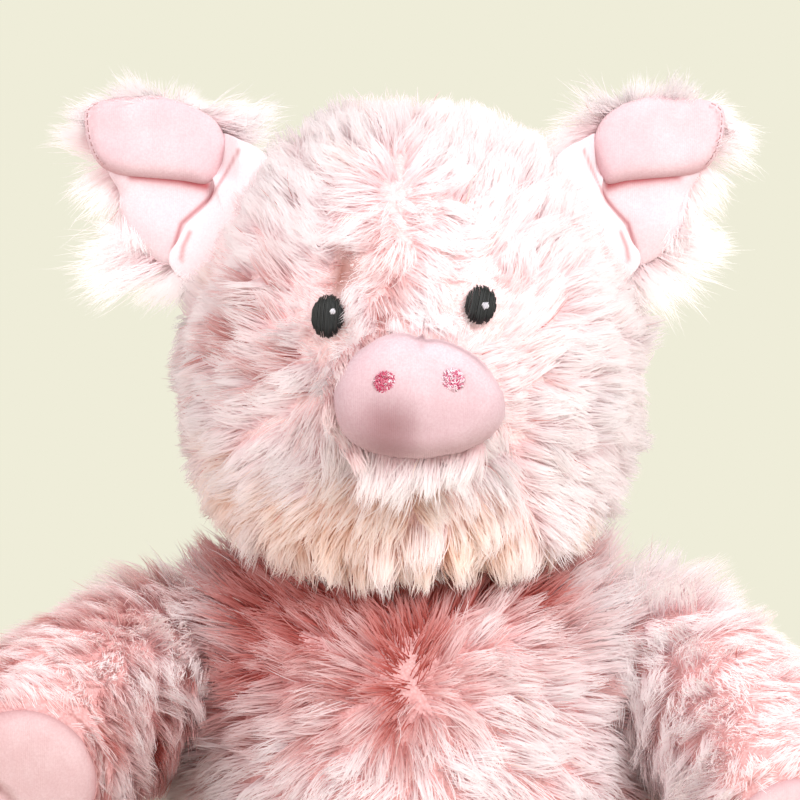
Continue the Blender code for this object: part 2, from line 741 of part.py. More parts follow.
def make_limbs(floor):
    for side in SIDES:
        anchor = new_anchor("arm_anchor_" + side, shoulder(side))
        names = ["arm_sleeve_" + side, "arm_stuffing_" + side, "hand_pad_" + side]
        make_limb(
            names, anchor, arm_stations(side), ARM_RADII, shoulder(side), SHOULDER_RADIUS, HAND_PAD_RADIUS,
            ARM_SWINGS_DEG[side], None,
        )
        anchor = new_anchor("leg_anchor_" + side, hip(side))
        names = ["leg_sleeve_" + side, "leg_stuffing_" + side, "foot_pad_" + side]
        make_limb(
            names, anchor, leg_stations(side), LEG_RADII, hip(side), HIP_RADIUS, FOOT_PAD_RADIUS,
            LEG_SWINGS_DEG, floor,
        )


def make_tail():
    anchor = new_anchor("tail_anchor", TAIL_ROOT)
    stations = tail_stations()
    last = len(stations) - 1
    radii = [TAIL_RADIUS * (1 + (TAIL_TIP_SHARE - 1) * index / last) for index in range(len(stations))]
    mesh = ring_mesh("tail", tube_rings(stations, radii, TAIL_SIDES))
    tail = subdivide(add_piece("tail", mesh, anchor, "velour"))
    add_root(tail, TAIL_ROOT, TAIL_ROOT_RADIUS, fine=False)


face_surface = make_head()
make_neck()
make_snout(face_surface)
make_eyes(face_surface)
make_ears()
floor_below = floor_tool()
make_body(floor_below)
make_limbs(floor_below)
make_tail()
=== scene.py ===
"""A seated plush pig: long-pile fabric over a stuffed body, velour snout, ears and pads, stitched eyes."""
import math

import bpy
import numpy as np
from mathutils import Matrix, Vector
from mathutils.kdtree import KDTree


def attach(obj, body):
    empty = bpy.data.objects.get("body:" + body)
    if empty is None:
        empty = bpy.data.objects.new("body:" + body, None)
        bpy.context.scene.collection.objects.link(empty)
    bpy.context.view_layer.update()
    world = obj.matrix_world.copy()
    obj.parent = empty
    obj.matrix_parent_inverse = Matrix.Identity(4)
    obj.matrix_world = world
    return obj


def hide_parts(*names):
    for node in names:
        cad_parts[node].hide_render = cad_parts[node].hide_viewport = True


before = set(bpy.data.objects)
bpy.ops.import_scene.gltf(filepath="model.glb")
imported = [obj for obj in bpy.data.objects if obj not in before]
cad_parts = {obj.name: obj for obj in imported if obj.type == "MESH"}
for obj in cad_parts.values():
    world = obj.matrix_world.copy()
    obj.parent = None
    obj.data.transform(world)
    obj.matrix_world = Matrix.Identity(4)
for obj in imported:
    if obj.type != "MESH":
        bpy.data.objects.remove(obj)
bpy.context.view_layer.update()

bl_info = {
    "name": "Plush pig",
    "version": (1, 0, 0),
    "blender": (4, 5, 0),
    "location": "View3D > Sidebar > Plush pig",
    "description": "Builds a seated plush pig with long pile, velour and embroidery",
    "category": "Add Mesh",
}

# Rows of a stuffed form from its underside to its top: share of the height, then shares of the half width,
# of the front and of the back, then how far the back of the ring lifts, as a share of the height.
HEAD_SHARES = (
    (0, .40, .65, .12, .06),
    (.045, .70, .85, .46, .08),
    (.16, .90, .965, .76, .05),
    (.34, 1.0, 1.005, .95, 0),
    (.54, 1.005, .985, 1.005, 0),
    (.715, .93, .865, .955, 0),
    (.865, .715, .62, .76, 0),
    (.975, .34, .28, .36, 0),
)
BODY_SHARES = (
    (0, .48, .45, .48, 0),
    (0, .72, .70, .74, 0),
    (.08, .91, .89, .92, 0),
    (.28, 1.01, 1.01, 1.01, 0),
    (.52, .93, .965, .96, 0),
    (.74, .84, .86, .88, 0),
    (.92, .84, .76, .84, 0),
    (1.03, .72, .60, .70, 0),
    (1.09, .58, .46, .58, 0),
    (1.13, .43, .38, .50, 0),
    (1.16, .34, .32, .44, 0),
)


def length(label, text, metres):
    """A length that a user can change, in metres."""
    return bpy.props.FloatProperty(name=label, description=text, default=metres, min=0, unit="LENGTH", precision=4)


def lengths(label, text, metres):
    """A row of lengths that belong together, in metres."""
    return bpy.props.FloatVectorProperty(
        name=label, description=text, default=metres, size=len(metres), unit="LENGTH", precision=4)


def place(label, text, metres):
    """A place in the toy's frame, in metres."""
    return bpy.props.FloatVectorProperty(
        name=label, description=text, default=metres, size=3, subtype="XYZ", unit="LENGTH", precision=4)


def colour(label, text, value):
    """A colour that a user can change, as an sRGB hex value."""
    return bpy.props.StringProperty(name=label, description=text, default=value)


class PIG_PG_head(bpy.types.PropertyGroup):
    """Sizes of the head and the face."""

    chin: length("Chin height", "Height of the underside of the chin over the floor", .1745)
    height: length("Head height", "Height of the head with its pile", .1535)
    half_width: length("Half width", "Half the width of the head with its pile", .074)
    front: length("Front", "How far the face stands before the middle of the head", .070)
    back: length("Back", "How far the back of the head stands behind its middle", .065)
    snout_middle: place("Snout middle", "Middle of the front of the snout", (.0022, -.093, .2345))
    snout_half: lengths("Snout halves", "Half the width and half the height of the snout", (.0252, .0186))
    snout_length: length("Snout length", "Length of the snout cover, with what is sunk in the face", .040)
    eye_right: lengths(
        "Right eye", "Sideways place, height, half width and half height of the pig's right eye",
        (-.0258, .2591, .0051, .0065))
    eye_left: lengths(
        "Left eye", "Sideways place, height, half width and half height of the pig's left eye",
        (.0211, .2626, .0048, .0059))
    nostril: length("Nostril radius", "Radius of a stitched nostril", .0036)


class PIG_PG_body(bpy.types.PropertyGroup):
    """Sizes of the body and the limbs."""

    height: length("Body height", "Height of the body with its pile", .1685)
    half_width: length("Half width", "Half the width of the body with its pile", .093)
    front: length("Front", "How far the belly stands before the middle", .076)
    back: length("Back", "How far the back stands behind the middle", .080)
    whorl: place("Whorl", "Gathered point of the chest seam that the pile turns round", (0, -.066, .143))
    shoulder: place("Left shoulder", "Middle of the left arm's root", (.060, .010, .146))
    hip: place("Left hip", "Middle of the left leg's root", (.052, -.052, .0375))
    arm_drop: bpy.props.FloatProperty(
        name="Left arm drop", description="How far the left arm hangs lower than the right",
        default=math.radians(11), subtype="ANGLE")
    hand_pad: length("Hand pad radius", "Radius of a velour hand pad", .0225)
    foot_pad: length("Foot pad radius", "Radius of a velour sole", .0245)


class PIG_PG_pile(bpy.types.PropertyGroup):
    """Sizes of the long pile and how densely it grows."""

    stand: length("Pile stand", "How far the lying pile stands over its backing", .0068)
    head_length: length("Head pile", "Length of the fibres on the head", .0150)
    body_length: length("Body pile", "Length of the fibres on the body and limbs", .0160)
    fibre: length("Tuft width", "Width of one tuft of fibres at its root", .00034)
    seed: bpy.props.IntProperty(name="Seed", description="Start of the random numbers of the pile", default=7)


class PIG_PG_colours(bpy.types.PropertyGroup):
    """Colours of the embroidery threads and of the room."""

    eye: colour("Eye thread", "Colour of the thread of the eyes", "#17191A")
    highlight: colour("Highlight thread", "Colour of the thread of the eyes' highlights", "#F4F4F7")
    nostril_right: colour("Right nostril", "Colour of the thread of the pig's right nostril", "#C22F5E")
    nostril_left: colour("Left nostril", "Colour of the thread of the pig's left nostril", "#D0507C")
    nostril_light: colour("Pale thread", "Colour of the pale stitches among those of the nostrils", "#F9EDF3")
    floor: colour("Floor", "Colour of the floor's paint", "#D3D1BF")
    backdrop: colour("Backdrop", "Colour of the room behind the toy", "#EFEDD9")


def sizes():
    """The add-on's property groups of sizes on the scene."""
    scene = bpy.context.scene
    return scene.pig_head, scene.pig_body, scene.pig_pile


def linear(colour):
    """The linear RGBA of an sRGB hex colour."""
    levels = [int(colour[i:i + 2], 16) / 255 for i in (1, 3, 5)]
    return [v / 12.92 if v <= .04045 else ((v + .055) / 1.055) ** 2.4 for v in levels] + [1]


def add_node(tree, kind, inputs=None, **settings):
    """Adds a node with its settings. An input is a value or the output that feeds it."""
    made = tree.nodes.new(kind)
    for name, value in settings.items():
        setattr(made, name, value)
    for name, value in (inputs or {}).items():
        if isinstance(value, bpy.types.NodeSocket):
            tree.links.new(value, made.inputs[name])
        else:
            made.inputs[name].default_value = value
    return made


def new_material(name):
    """An empty node material and its tree."""
    made = bpy.data.materials.new(name)
    made.use_nodes = True
    made.node_tree.nodes.clear()
    return made, made.node_tree


def finish_material(tree, shader):
    """Joins the shader to the material's output."""
    add_node(tree, "ShaderNodeOutputMaterial", {"Surface": shader.outputs[0]})


def fill_ramp(ramp, stops):
    """Sets the stops of a colour ramp from places and hex colours."""
    band = ramp.color_ramp
    while len(band.elements) > 1:
        band.elements.remove(band.elements[0])
    band.elements[0].position, band.elements[0].color = stops[0][0], linear(stops[0][1])
    for at, colour in stops[1:]:
        band.elements.new(at).color = linear(colour)
    return ramp


# Acrylic pile, knitted long and brushed: pale tips over rose roots, so a parting shows a deeper pink. Each ramp runs
# from the root of a fibre to its tip. A tone from 0 to 1 picks between them: deep at 0, rosy at .20, pale from .48
# to .68 and cream from .92.
PILE_DEEP = ((0, "#A03D33"), (.35, "#C66B62"), (.7, "#DA958F"), (1, "#E8B9B5"))
PILE_ROSY = ((0, "#CC8988"), (.28, "#E0B3B1"), (.6, "#ECCFCE"), (1, "#F6E6E6"))
PILE_PALE = ((0, "#F0D5D8"), (.25, "#FAECEE"), (.55, "#FEF8F9"), (1, "#FFFEFE"))
PILE_CREAM = ((0, "#E6BCA3"), (.28, "#F6DCCA"), (.6, "#FEF0E7"), (1, "#FFFCF9"))
PILE_TONES = ((.0, .20, PILE_ROSY), (.20, .48, PILE_PALE), (.68, .92, PILE_CREAM))
# Real sizes of the patterns in the fabrics, in metres.
KNIT_LOOP = .001
BRUSHED_PATCH = .014
VELOUR_GRAIN = .00075
VELOUR_RIB = .00065


def acrylic_pile():
    """Long acrylic pile, matte with a little sheen, which lets half of the light through. Its map holds the tone
    across and root to tip upwards, so each tuft is shaded along its length."""
    made, tree = new_material("acrylic_long_pile")
    at = add_node(tree, "ShaderNodeUVMap", uv_map="OFBake")
    parts = add_node(tree, "ShaderNodeSeparateXYZ", {0: at.outputs[0]})

    def along(stops):
        """The colours of a ramp, from root to tip."""
        return fill_ramp(add_node(tree, "ShaderNodeValToRGB", {0: parts.outputs[1]}), stops).outputs[0]

    shown = along(PILE_DEEP)
    for low, high, stops in PILE_TONES:
        much = add_node(tree, "ShaderNodeMapRange", {0: parts.outputs[0], 1: low, 2: high}, clamp=True)
        shown = add_node(
            tree, "ShaderNodeMix", {0: much.outputs[0], 6: shown, 7: along(stops)}, data_type="RGBA").outputs[2]
    front = add_node(tree, "ShaderNodeBsdfPrincipled", {
        "Base Color": shown, "Roughness": .62, "IOR": 1.49, "Specular IOR Level": .25,
        "Sheen Weight": .2, "Sheen Roughness": .5, "Sheen Tint": linear("#FFEDEA")})
    through = add_node(tree, "ShaderNodeBsdfTranslucent", {"Color": shown})
    both = add_node(tree, "ShaderNodeMixShader", {0: .5, 1: front.outputs[0], 2: through.outputs[0]})
    finish_material(tree, both)
    return made


def knit_backing(name="knit_backing", loop="#E6BEBD", gap="#CF9C9A"):
    """Knitted backing of the pile fabric, dyed rose: matte loops 1 mm apart, seen only between the tufts."""
    made, tree = new_material(name)
    at = add_node(tree, "ShaderNodeTexCoord")
    loops = add_node(tree, "ShaderNodeTexVoronoi", {"Vector": at.outputs["Object"], "Scale": 1 / KNIT_LOOP})
    yarn = fill_ramp(add_node(tree, "ShaderNodeValToRGB", {0: loops.outputs["Distance"]}), ((0, loop), (.8, gap)))
    # Painted shade: the crease mark mixes in a deeper brown where the backing lies in a hollow.
    hollow = add_node(tree, "ShaderNodeAttribute", attribute_name="crease")
    shown = add_node(
        tree, "ShaderNodeMix", {0: hollow.outputs["Fac"], 6: yarn.outputs[0], 7: linear("#96685E")}, data_type="RGBA")
    bump = add_node(
        tree, "ShaderNodeBump", {"Height": loops.outputs["Distance"], "Distance": .0003, "Strength": .5}, invert=True)
    shader = add_node(tree, "ShaderNodeBsdfPrincipled", {
        "Base Color": shown.outputs[2], "Roughness": .9, "Normal": bump.outputs[0], "Specular IOR Level": .2})
    finish_material(tree, shader)
    return made


def velour(name, pale, mid, deep, seam):
    """Polyester velour with a 1 mm pile: a soft sheen at grazing angles, fine ribs 0.65 mm apart, brushed patches,
    and painted shade in the seam colour where a piece's crease mark lies, in its seams, creases and hollows."""
    made, tree = new_material(name)
    at = add_node(tree, "ShaderNodeTexCoord").outputs["Object"]
    patches = add_node(
        tree, "ShaderNodeTexNoise", {"Vector": at, "Scale": 1 / BRUSHED_PATCH, "Detail": 3, "Roughness": .6})
    tone = fill_ramp(add_node(tree, "ShaderNodeValToRGB", {0: patches.outputs[0]}), ((.3, mid), (.68, pale)))
    grain = add_node(
        tree, "ShaderNodeTexNoise", {"Vector": at, "Scale": 1 / VELOUR_GRAIN, "Detail": 2, "Roughness": .7})
    flecks = add_node(tree, "ShaderNodeMapRange", {0: grain.outputs[0], 1: .35, 2: .65, 3: 0, 4: .34}, clamp=True)
    flecked = add_node(
        tree, "ShaderNodeMix", {0: flecks.outputs[0], 6: tone.outputs[0], 7: linear(deep)}, data_type="RGBA")
    # Painted shade: the crease mark mixes in the seam colour.
    crease = add_node(tree, "ShaderNodeAttribute", attribute_name="crease")
    creased = add_node(
        tree, "ShaderNodeMix", {0: crease.outputs["Fac"], 6: flecked.outputs[2], 7: linear(seam)}, data_type="RGBA")
    # A band of the wave texture is tau / 20 wide at a scale of 1.
    ribs = add_node(tree, "ShaderNodeTexWave", {
        "Vector": at, "Scale": math.tau / (20 * VELOUR_RIB), "Distortion": 1.2, "Detail": 1},
        wave_type="BANDS", bands_direction="X")
    height = add_node(
        tree, "ShaderNodeMath", {0: ribs.outputs["Fac"], 1: .30, 2: grain.outputs[0]}, operation="MULTIPLY_ADD")
    bump = add_node(tree, "ShaderNodeBump", {"Height": height.outputs[0], "Distance": .00018, "Strength": .6})
    shader = add_node(tree, "ShaderNodeBsdfPrincipled", {
        "Base Color": creased.outputs[2], "Roughness": .78, "Normal": bump.outputs[0], "Specular IOR Level": .25,
        "Sheen Weight": .22, "Sheen Roughness": .4, "Sheen Tint": linear("#FFE8EA")})
    finish_material(tree, shader)
    return made


def rayon_thread(name, first, second, rough=.42):
    """Rayon embroidery thread: smooth twisted strands with a satin gloss, and a little difference between stitches."""
    made, tree = new_material(name)
    tone = add_node(tree, "ShaderNodeAttribute", attribute_name="tone")
    shown = add_node(
        tree, "ShaderNodeMix", {0: tone.outputs["Fac"], 6: linear(first), 7: linear(second)}, data_type="RGBA")
    shader = add_node(tree, "ShaderNodeBsdfPrincipled", {
        "Base Color": shown.outputs[2], "Roughness": rough, "IOR": 1.53, "Specular IOR Level": .4})
    finish_material(tree, shader)
    return made


def spline(rows, at):
    """Smooth curve through rows of numbers, read at places counted in rows."""
    rows = np.asarray(rows, float)
    i = np.clip(np.floor(at).astype(int), 1, len(rows) - 3)
    t = (at - i)[:, None]
    a, b, c, d = rows[i - 1], rows[i], rows[i + 1], rows[i + 2]
    return b + .5 * t * (c - a + t * (2 * a - 5 * b + 4 * c - d + t * (3 * (b - c) + d - a)))


def stuffed_rings(shares, bottom, height, half_width, front, back, levels, sides):
    """Rings of a stuffed form from its rows of shares, closed over the top and flat underneath."""
    rows = np.array(shares, float)
    under = rows[0] * (1, 0, 0, 0, 0)
    top = np.array((rows[-1, 0] + .025, 0, 0, 0, 0))
    mirror = rows[-1] * (1, -1, -1, -1, 1)
    rows = np.vstack([rows[0] * (1, -1, -1, -1, 1), under, rows, top, mirror])
    at = np.linspace(1, len(rows) - 2, levels)
    r = spline(rows, at)
    a = np.linspace(0, math.tau, sides, endpoint=False)
    ahead, behind = r[:, 2:3] * front, r[:, 3:4] * back
    x = r[:, 1:2] * half_width * np.cos(a)
    y = (behind - ahead) / 2 + (ahead + behind) / 2 * np.sin(a)
    z = bottom + r[:, :1] * height + r[:, 4:5] * height * (1 + np.sin(a)) / 2
    return np.stack([x, y, np.broadcast_to(z, x.shape)], -1)


def limb_rings(stations, radii, levels, sides):
    """Rings of a limb round a smooth path, with the path's direction at each ring."""
    stations, radii = np.asarray(stations, float), np.asarray(radii, float)
    ends = np.vstack([2 * stations[0] - stations[1], stations, 2 * stations[-1] - stations[-2]])
    widths = np.concatenate([[2 * radii[0] - radii[1]], radii, [2 * radii[-1] - radii[-2]]])[:, None]
    at = np.linspace(1, len(stations), levels)
    path, radius = spline(ends, at), spline(widths, at)
    along = np.gradient(path, axis=0)
    along /= np.linalg.norm(along, axis=1)[:, None]
    first = np.cross((0, 0, 1), along)
    first /= np.linalg.norm(first, axis=1)[:, None]
    second = np.cross(along, first)
    a = np.linspace(0, math.tau, sides, endpoint=False)[None, :, None]
    rings = path[:, None] + radius[:, :, None] * (np.cos(a) * first[:, None] + np.sin(a) * second[:, None])
    return rings, path, along


class Shell:
    """A closed skin: its points, faces, normals, and the direction that its pile is brushed at each point."""

    def __init__(self, rings, first, last, along=None):
        levels, sides, _ = rings.shape
        self.points = np.vstack([rings.reshape(-1, 3), [first], [last]])
        side = np.arange(sides)
        ahead = (side + 1) % sides
        rows = np.arange(levels - 1)[:, None] * sides
        quads = np.stack([rows + side, rows + ahead, rows + sides + ahead, rows + sides + side], -1).reshape(-1, 4)
        low, high = levels * sides, levels * sides + 1
        top = (levels - 1) * sides
        self.quads = quads
        self.caps = np.vstack([
            np.stack([np.full(sides, low), ahead, side], -1),
            np.stack([np.full(sides, high), top + side, top + ahead], -1)])
        self.triangles = np.vstack([quads[:, :3], quads[:, [0, 2, 3]], self.caps])
        if along is None:
            self.along = np.zeros_like(self.points)
        else:
            self.along = np.vstack([np.repeat(along, sides, axis=0), [along[0]], [along[-1]]])
        self.measure()

    def measure(self):
        """Works out the normals again after the points have moved."""
        a, b, c = (self.points[self.triangles[:, i]] for i in range(3))
        cross = np.cross(b - a, c - a)
        normals = np.zeros_like(self.points)
        for i in range(3):
            np.add.at(normals, self.triangles[:, i], cross)
        self.normals = normals / np.maximum(np.linalg.norm(normals, axis=1), 1e-12)[:, None]
        self.areas = np.linalg.norm(cross, axis=1) / 2

    def inset(self, depth):
        """Moves the skin inwards by a depth at each point."""
        self.points = self.points - self.normals * np.reshape(depth, (-1, 1))
        self.measure()

    def scatter(self, number, rng, want):
        """Spreads places evenly over the skin, kept by the chance that want gives at each."""
        total = np.cumsum(self.areas)
        pick = np.searchsorted(total, (np.arange(number) + rng.random(number)) / number * total[-1])
        pick = np.minimum(pick, len(total) - 1)
        u, v = rng.random(number), rng.random(number)
        flip = u + v > 1
        u[flip], v[flip] = 1 - u[flip], 1 - v[flip]
        weights = np.stack([1 - u - v, u, v], -1)[:, :, None]
        corner = self.triangles[pick]
        points, normals, along = (
            (values[corner] * weights).sum(1) for values in (self.points, self.normals, self.along))
        normals /= np.linalg.norm(normals, axis=1)[:, None]
        keep = rng.random(number) < want(points, normals)
        return points[keep], normals[keep], along[keep]

    def faces(self):
        """The skin's faces, as rows of point numbers."""
        return [tuple(f) for f in self.quads.tolist()] + [tuple(f) for f in self.caps.tolist()]


def new_mesh(name, points, faces, material, body, stands_for=(), smooth=True):
    """A mesh object on the scene that rides on a body and stands for its CAD nodes."""
    mesh = bpy.data.meshes.new(name)
    mesh.from_pydata([tuple(p) for p in np.asarray(points, float).tolist()], [], faces)
    mesh.polygons.foreach_set("use_smooth", [smooth] * len(mesh.polygons))
    mesh.materials.append(material)
    made = bpy.data.objects.new(name, mesh)
    bpy.context.scene.collection.objects.link(made)
    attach(made, body)
    if stands_for:
        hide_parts(*stands_for)
    return made


def unit(vectors):
    """The vectors at length 1."""
    return vectors / np.maximum(np.linalg.norm(vectors, axis=-1, keepdims=True), 1e-9)


def step(low, high, value):
    """0 below low, 1 above high and smooth between."""
    t = np.clip((value - low) / (high - low), 0, 1)
    return t * t * (3 - 2 * t)


def ridge(value, middle, width):
    """1 where a value is at the middle, and 0 well outside the width on both sides."""
    return np.exp(-((value - middle) / width) ** 2)


def soft_spot(x, z, middle, size, power=1.0):
    """1 in the middle of a spot seen from the front, and 0 well outside its half sizes. A power makes its edge
    sharper."""
    return np.exp(-(((x - middle[0]) / size[0]) ** 2 + ((z - middle[1]) / size[1]) ** 2) ** power)


def dome(share, power):
    """Height of a stuffed form at a share of the way to its rim: 1 in its middle and 0 at the rim."""
    return np.sqrt(np.maximum(1 - share ** power, 0))


def bend(flow, much, other):
    """The flow of the pile, turned towards another one by how much at each point."""
    return unit(flow * (1 - much[:, None]) + much[:, None] * other)


def noise_field(points, size, seed):
    """Smooth random numbers from -1 to 1 that change over a size, from a few crossed waves."""
    rng = np.random.default_rng(seed)
    total = np.zeros(len(points))
    for _ in range(6):
        wave = unit(rng.normal(size=3)) * math.tau / (size * rng.uniform(.7, 1.5))
        total += np.sin(points @ wave + rng.uniform(0, math.tau))
    return np.clip(total / 2.6, -1, 1)


# Strays are the share of fibres that stand out of their locks, with a wider swing and a little less length.
STRAY_SHARE = .01
STRAY_LOOSENESS = .17
STRAY_LENGTH = .92
ROOT_DEPTH = .0006


def grow_pile(name, places, body, slot, material, rng, fibre_length, width, flow, growth, tone, tufts=11, segments=4,
              lock_size=.0075, tuft_size=.0021, rise=.50, lay=.10, wander=.26, pinch=.55, loose=.05, floor=.0004,
              lit_from=None, mottle=.08, per_lock=17, palest=.64):
    """Grows tufts of fibres at the places: each fibre is a tapered ribbon, drawn into its tuft, and tufts into locks.

    Flow is the way that the pile is brushed, growth its share of the full length, tone its shade, rise how steeply a
    fibre starts and lay how steeply it ends. Lit_from turns the shading normals towards a light. The outer half of
    the fibres casts no shadow, because acrylic fibres let most of the light through."""
    points, normals = places
    spots = len(points)
    tangent = unit(flow - normals * (flow * normals).sum(1, keepdims=True))
    locks = max(spots // per_lock, 1)
    leaders = rng.choice(spots, locks, replace=False)
    tree = KDTree(locks)
    for number, spot in enumerate(leaders):
        tree.insert(points[spot], number)
    tree.balance()
    lock = np.array([tree.find(p)[1] for p in points])
    lock_swing = rng.normal(size=(locks, 3)) * wander
    lock_length = rng.uniform(.84, 1.12, locks)
    lock_tone = rng.normal(0, 1, locks)
    lock_rise = rng.uniform(.45, 1.5, locks)
    spot_swing = rng.normal(size=(spots, 3)) * wander * .35
    lean = unit(tangent + lock_swing[lock] + spot_swing)
    lean = unit(lean - normals * np.minimum((lean * normals).sum(1, keepdims=True), 0) * 1.2)
    stand = np.minimum(rise * lock_rise[lock], 1.3)[:, None]
    start = unit(normals * stand + lean * (1 - stand * .45))
    end = unit(normals * (lay * lock_rise[lock])[:, None] + lean)
    reach = fibre_length * growth * lock_length[lock] * rng.uniform(.93, 1.05, spots)
    gather = points[leaders][lock] - points
    gather -= normals * (gather * normals).sum(1, keepdims=True)
    drawn = np.minimum(1, lock_size / np.maximum(np.linalg.norm(gather, axis=1, keepdims=True), 1e-9))
    gather *= drawn * np.clip(growth, 0, 1)[:, None] ** 1.5

    n = spots * tufts
    own = np.repeat(np.arange(spots), tufts)
    side = unit(np.cross(normals, tangent))
    radius, angle = tuft_size * np.sqrt(rng.random(n)), rng.uniform(0, math.tau, n)
    offset = tangent[own] * (radius * np.cos(angle))[:, None] + side[own] * (radius * np.sin(angle))[:, None]
    stray = rng.random(n) < STRAY_SHARE
    looseness = np.where(stray, STRAY_LOOSENESS, loose)[:, None]
    swing = rng.normal(size=(n, 3)) * looseness
    long = reach[own] * (1.04 - .30 * rng.random(n) ** 2.5) * np.where(stray, STRAY_LENGTH, 1)
    t = np.linspace(0, 1, segments + 1) ** .88
    draw = pinch * t ** 1.4
    root = points[own] - normals[own] * ROOT_DEPTH
    curl = rng.normal(size=(n, 3)) * .05
    path = (
        root[:, None]
        + offset[:, None] * (1 - draw[None, :, None] * .8)
        + long[:, None, None] * (
            start[own][:, None] * (t - t * t / 2)[None, :, None]
            + end[own][:, None] * (t * t / 2)[None, :, None]
            + swing[:, None] * (t ** 1.5)[None, :, None]
            + curl[:, None] * np.sin(t * math.pi)[None, :, None])
        + gather[own][:, None] * (.52 * t ** 1.5)[None, :, None]
    )
    path[:, :, 2] = np.maximum(path[:, :, 2], floor)
    direction = unit(np.gradient(path, axis=1))
    outside = normals if lit_from is None else lit_from
    facing = unit(outside[own] + rng.normal(size=(n, 3)) * .24)
    across = unit(np.cross(facing[:, None], direction))
    taper = 1 - t[:-1] ** 3 * .62
    half = (width * rng.uniform(.7, 1.25, n))[:, None, None] / 2 * taper[None, :, None]
    left, right = path[:, :-1] - across[:, :-1] * half, path[:, :-1] + across[:, :-1] * half
    corners = np.empty((n, 2 * segments + 1, 3))
    corners[:, 0:-1:2], corners[:, 1:-1:2], corners[:, -1] = right, left, path[:, -1]
    flat = np.cross(direction, across)
    lit = np.empty_like(corners)
    shading = unit(outside[own][:, None] + flat * .22 + end[own][:, None] * (t * .25)[None, :, None])
    lit[:, 0:-1:2], lit[:, 1:-1:2], lit[:, -1] = shading[:, :-1], shading[:, :-1], shading[:, -1]
    tones = np.clip((tone + mottle * lock_tone[lock])[own] + rng.normal(0, .03, n), .005, palest)
    tones = np.where(stray, rng.uniform(.005, .995, n), tones)
    u = np.repeat(tones, 2 * segments + 1).reshape(n, -1)
    v = np.broadcast_to(np.append(np.repeat(t[:-1], 2), 1.0), u.shape)
    v = np.clip(v * .99 + .005, .005, .995)
    outer = np.arange(n) % 2 == 0
    for part, some in (("_outer", outer), ("_inner", ~outer)):
        made = ribbon_piece(name + part, corners[some], lit[some], u[some], v[some], material)
        made.visible_shadow = part == "_inner"
        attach(made, body)


def ribbon_piece(name, corners, lit, u, v, material):
    """A mesh of tapered ribbons from their corners: pairs of edge points from the root on, then the tip. It has the
    shading normals and the map that go with the corners."""
    total, each = corners.shape[:2]
    segments = each // 2
    quads = np.stack([np.array([2 * k, 2 * k + 1, 2 * k + 3, 2 * k + 2]) for k in range(segments - 1)])
    loops_of = np.concatenate([quads.ravel(), [2 * segments - 2, 2 * segments - 1, 2 * segments]])
    sizes_of = np.array([4] * (segments - 1) + [3])
    loops = (np.arange(total)[:, None] * each + loops_of).ravel().astype(np.int32)
    starts = np.concatenate([[0], np.cumsum(np.tile(sizes_of, total))[:-1]]).astype(np.int32)
    mesh = bpy.data.meshes.new(name)
    mesh.vertices.add(total * each)
    mesh.vertices.foreach_set("co", corners.reshape(-1).astype(np.float32))
    mesh.loops.add(len(loops))
    mesh.loops.foreach_set("vertex_index", loops)
    mesh.polygons.add(len(starts))
    mesh.polygons.foreach_set("loop_start", starts)
    mesh.polygons.foreach_set("use_smooth", np.ones(len(starts), bool))
    map_places = np.stack([u.ravel()[loops], v.ravel()[loops]], -1)
    mesh.uv_layers.new(name="OFBake").data.foreach_set("uv", map_places.ravel().astype(np.float32))
    mesh.update(calc_edges=True)
    layer = mesh.attributes.new("custom_normal", "FLOAT_VECTOR", "POINT")
    layer.data.foreach_set("vector", lit.reshape(-1).astype(np.float32))
    mesh.materials.append(material)
    made = bpy.data.objects.new(name, mesh)
    bpy.context.scene.collection.objects.link(made)
    return made


def material_named(name, make):
    """The material of that name, made once."""
    return bpy.data.materials.get(name) or make()


def long_pile():
    """The pile of every fur piece, made once."""
    return material_named("acrylic_long_pile", acrylic_pile)


def rose_backing():
    """The backing of the body and the limbs."""
    return material_named("knit_backing", knit_backing)


def pale_backing():
    """The backing of the head and the ears, paler than the body's; on the ears its paleness is painted light."""
    return material_named("knit_backing_pale", lambda: knit_backing("knit_backing_pale", "#F8E2E1", "#EBCBC9"))


def face_place(x, z):
    """The place and the outward direction of the head's own surface, pile and all, at a place on the face."""
    head = sizes()[0]
    rows = np.array(HEAD_SHARES)

    def at(px, pz):
        """The surface's point."""
        s = (pz - head.chin) / head.height
        w, f, b = (np.interp(s, rows[:, 0], rows[:, i]) for i in (1, 2, 3))
        c = np.clip(px / (w * head.half_width), -.999, .999)
        ahead, behind = f * head.front, b * head.back
        return np.array((px, (behind - ahead) / 2 - (ahead + behind) / 2 * math.sqrt(1 - c * c), pz))

    small = .004
    right, up = at(x + small, z) - at(x - small, z), at(x, z + small) - at(x, z - small)
    return at(x, z), unit(np.cross(right, up))


# The stage, in metres: the radii of the floor's rings, and where its paint fades into the backdrop.
FLOOR_RINGS = (.15, .4, .9)
FADE_START, FADE_END = .28, .62
# Each light's name, place, size, power in watts and tint.
LIGHTS = (
    ("window_light", (.74, -1.12, 1.08), .7, 18.6, "#FFFDFD"),
    ("fill_light", (-1.1, -1.0, .55), 1.2, 8.8, "#FFF4F7"),
    ("back_light", (.5, 1.1, 1.0), .8, 9, "#FFF9F2"),
)
# The camera: how far it stands off, the width that it shows at its aim, and its aim, the snout's plane.
CAMERA_DISTANCE, SHOWN_WIDTH = 3.0, .248
AIM = (-.0037, -.060, .2333)


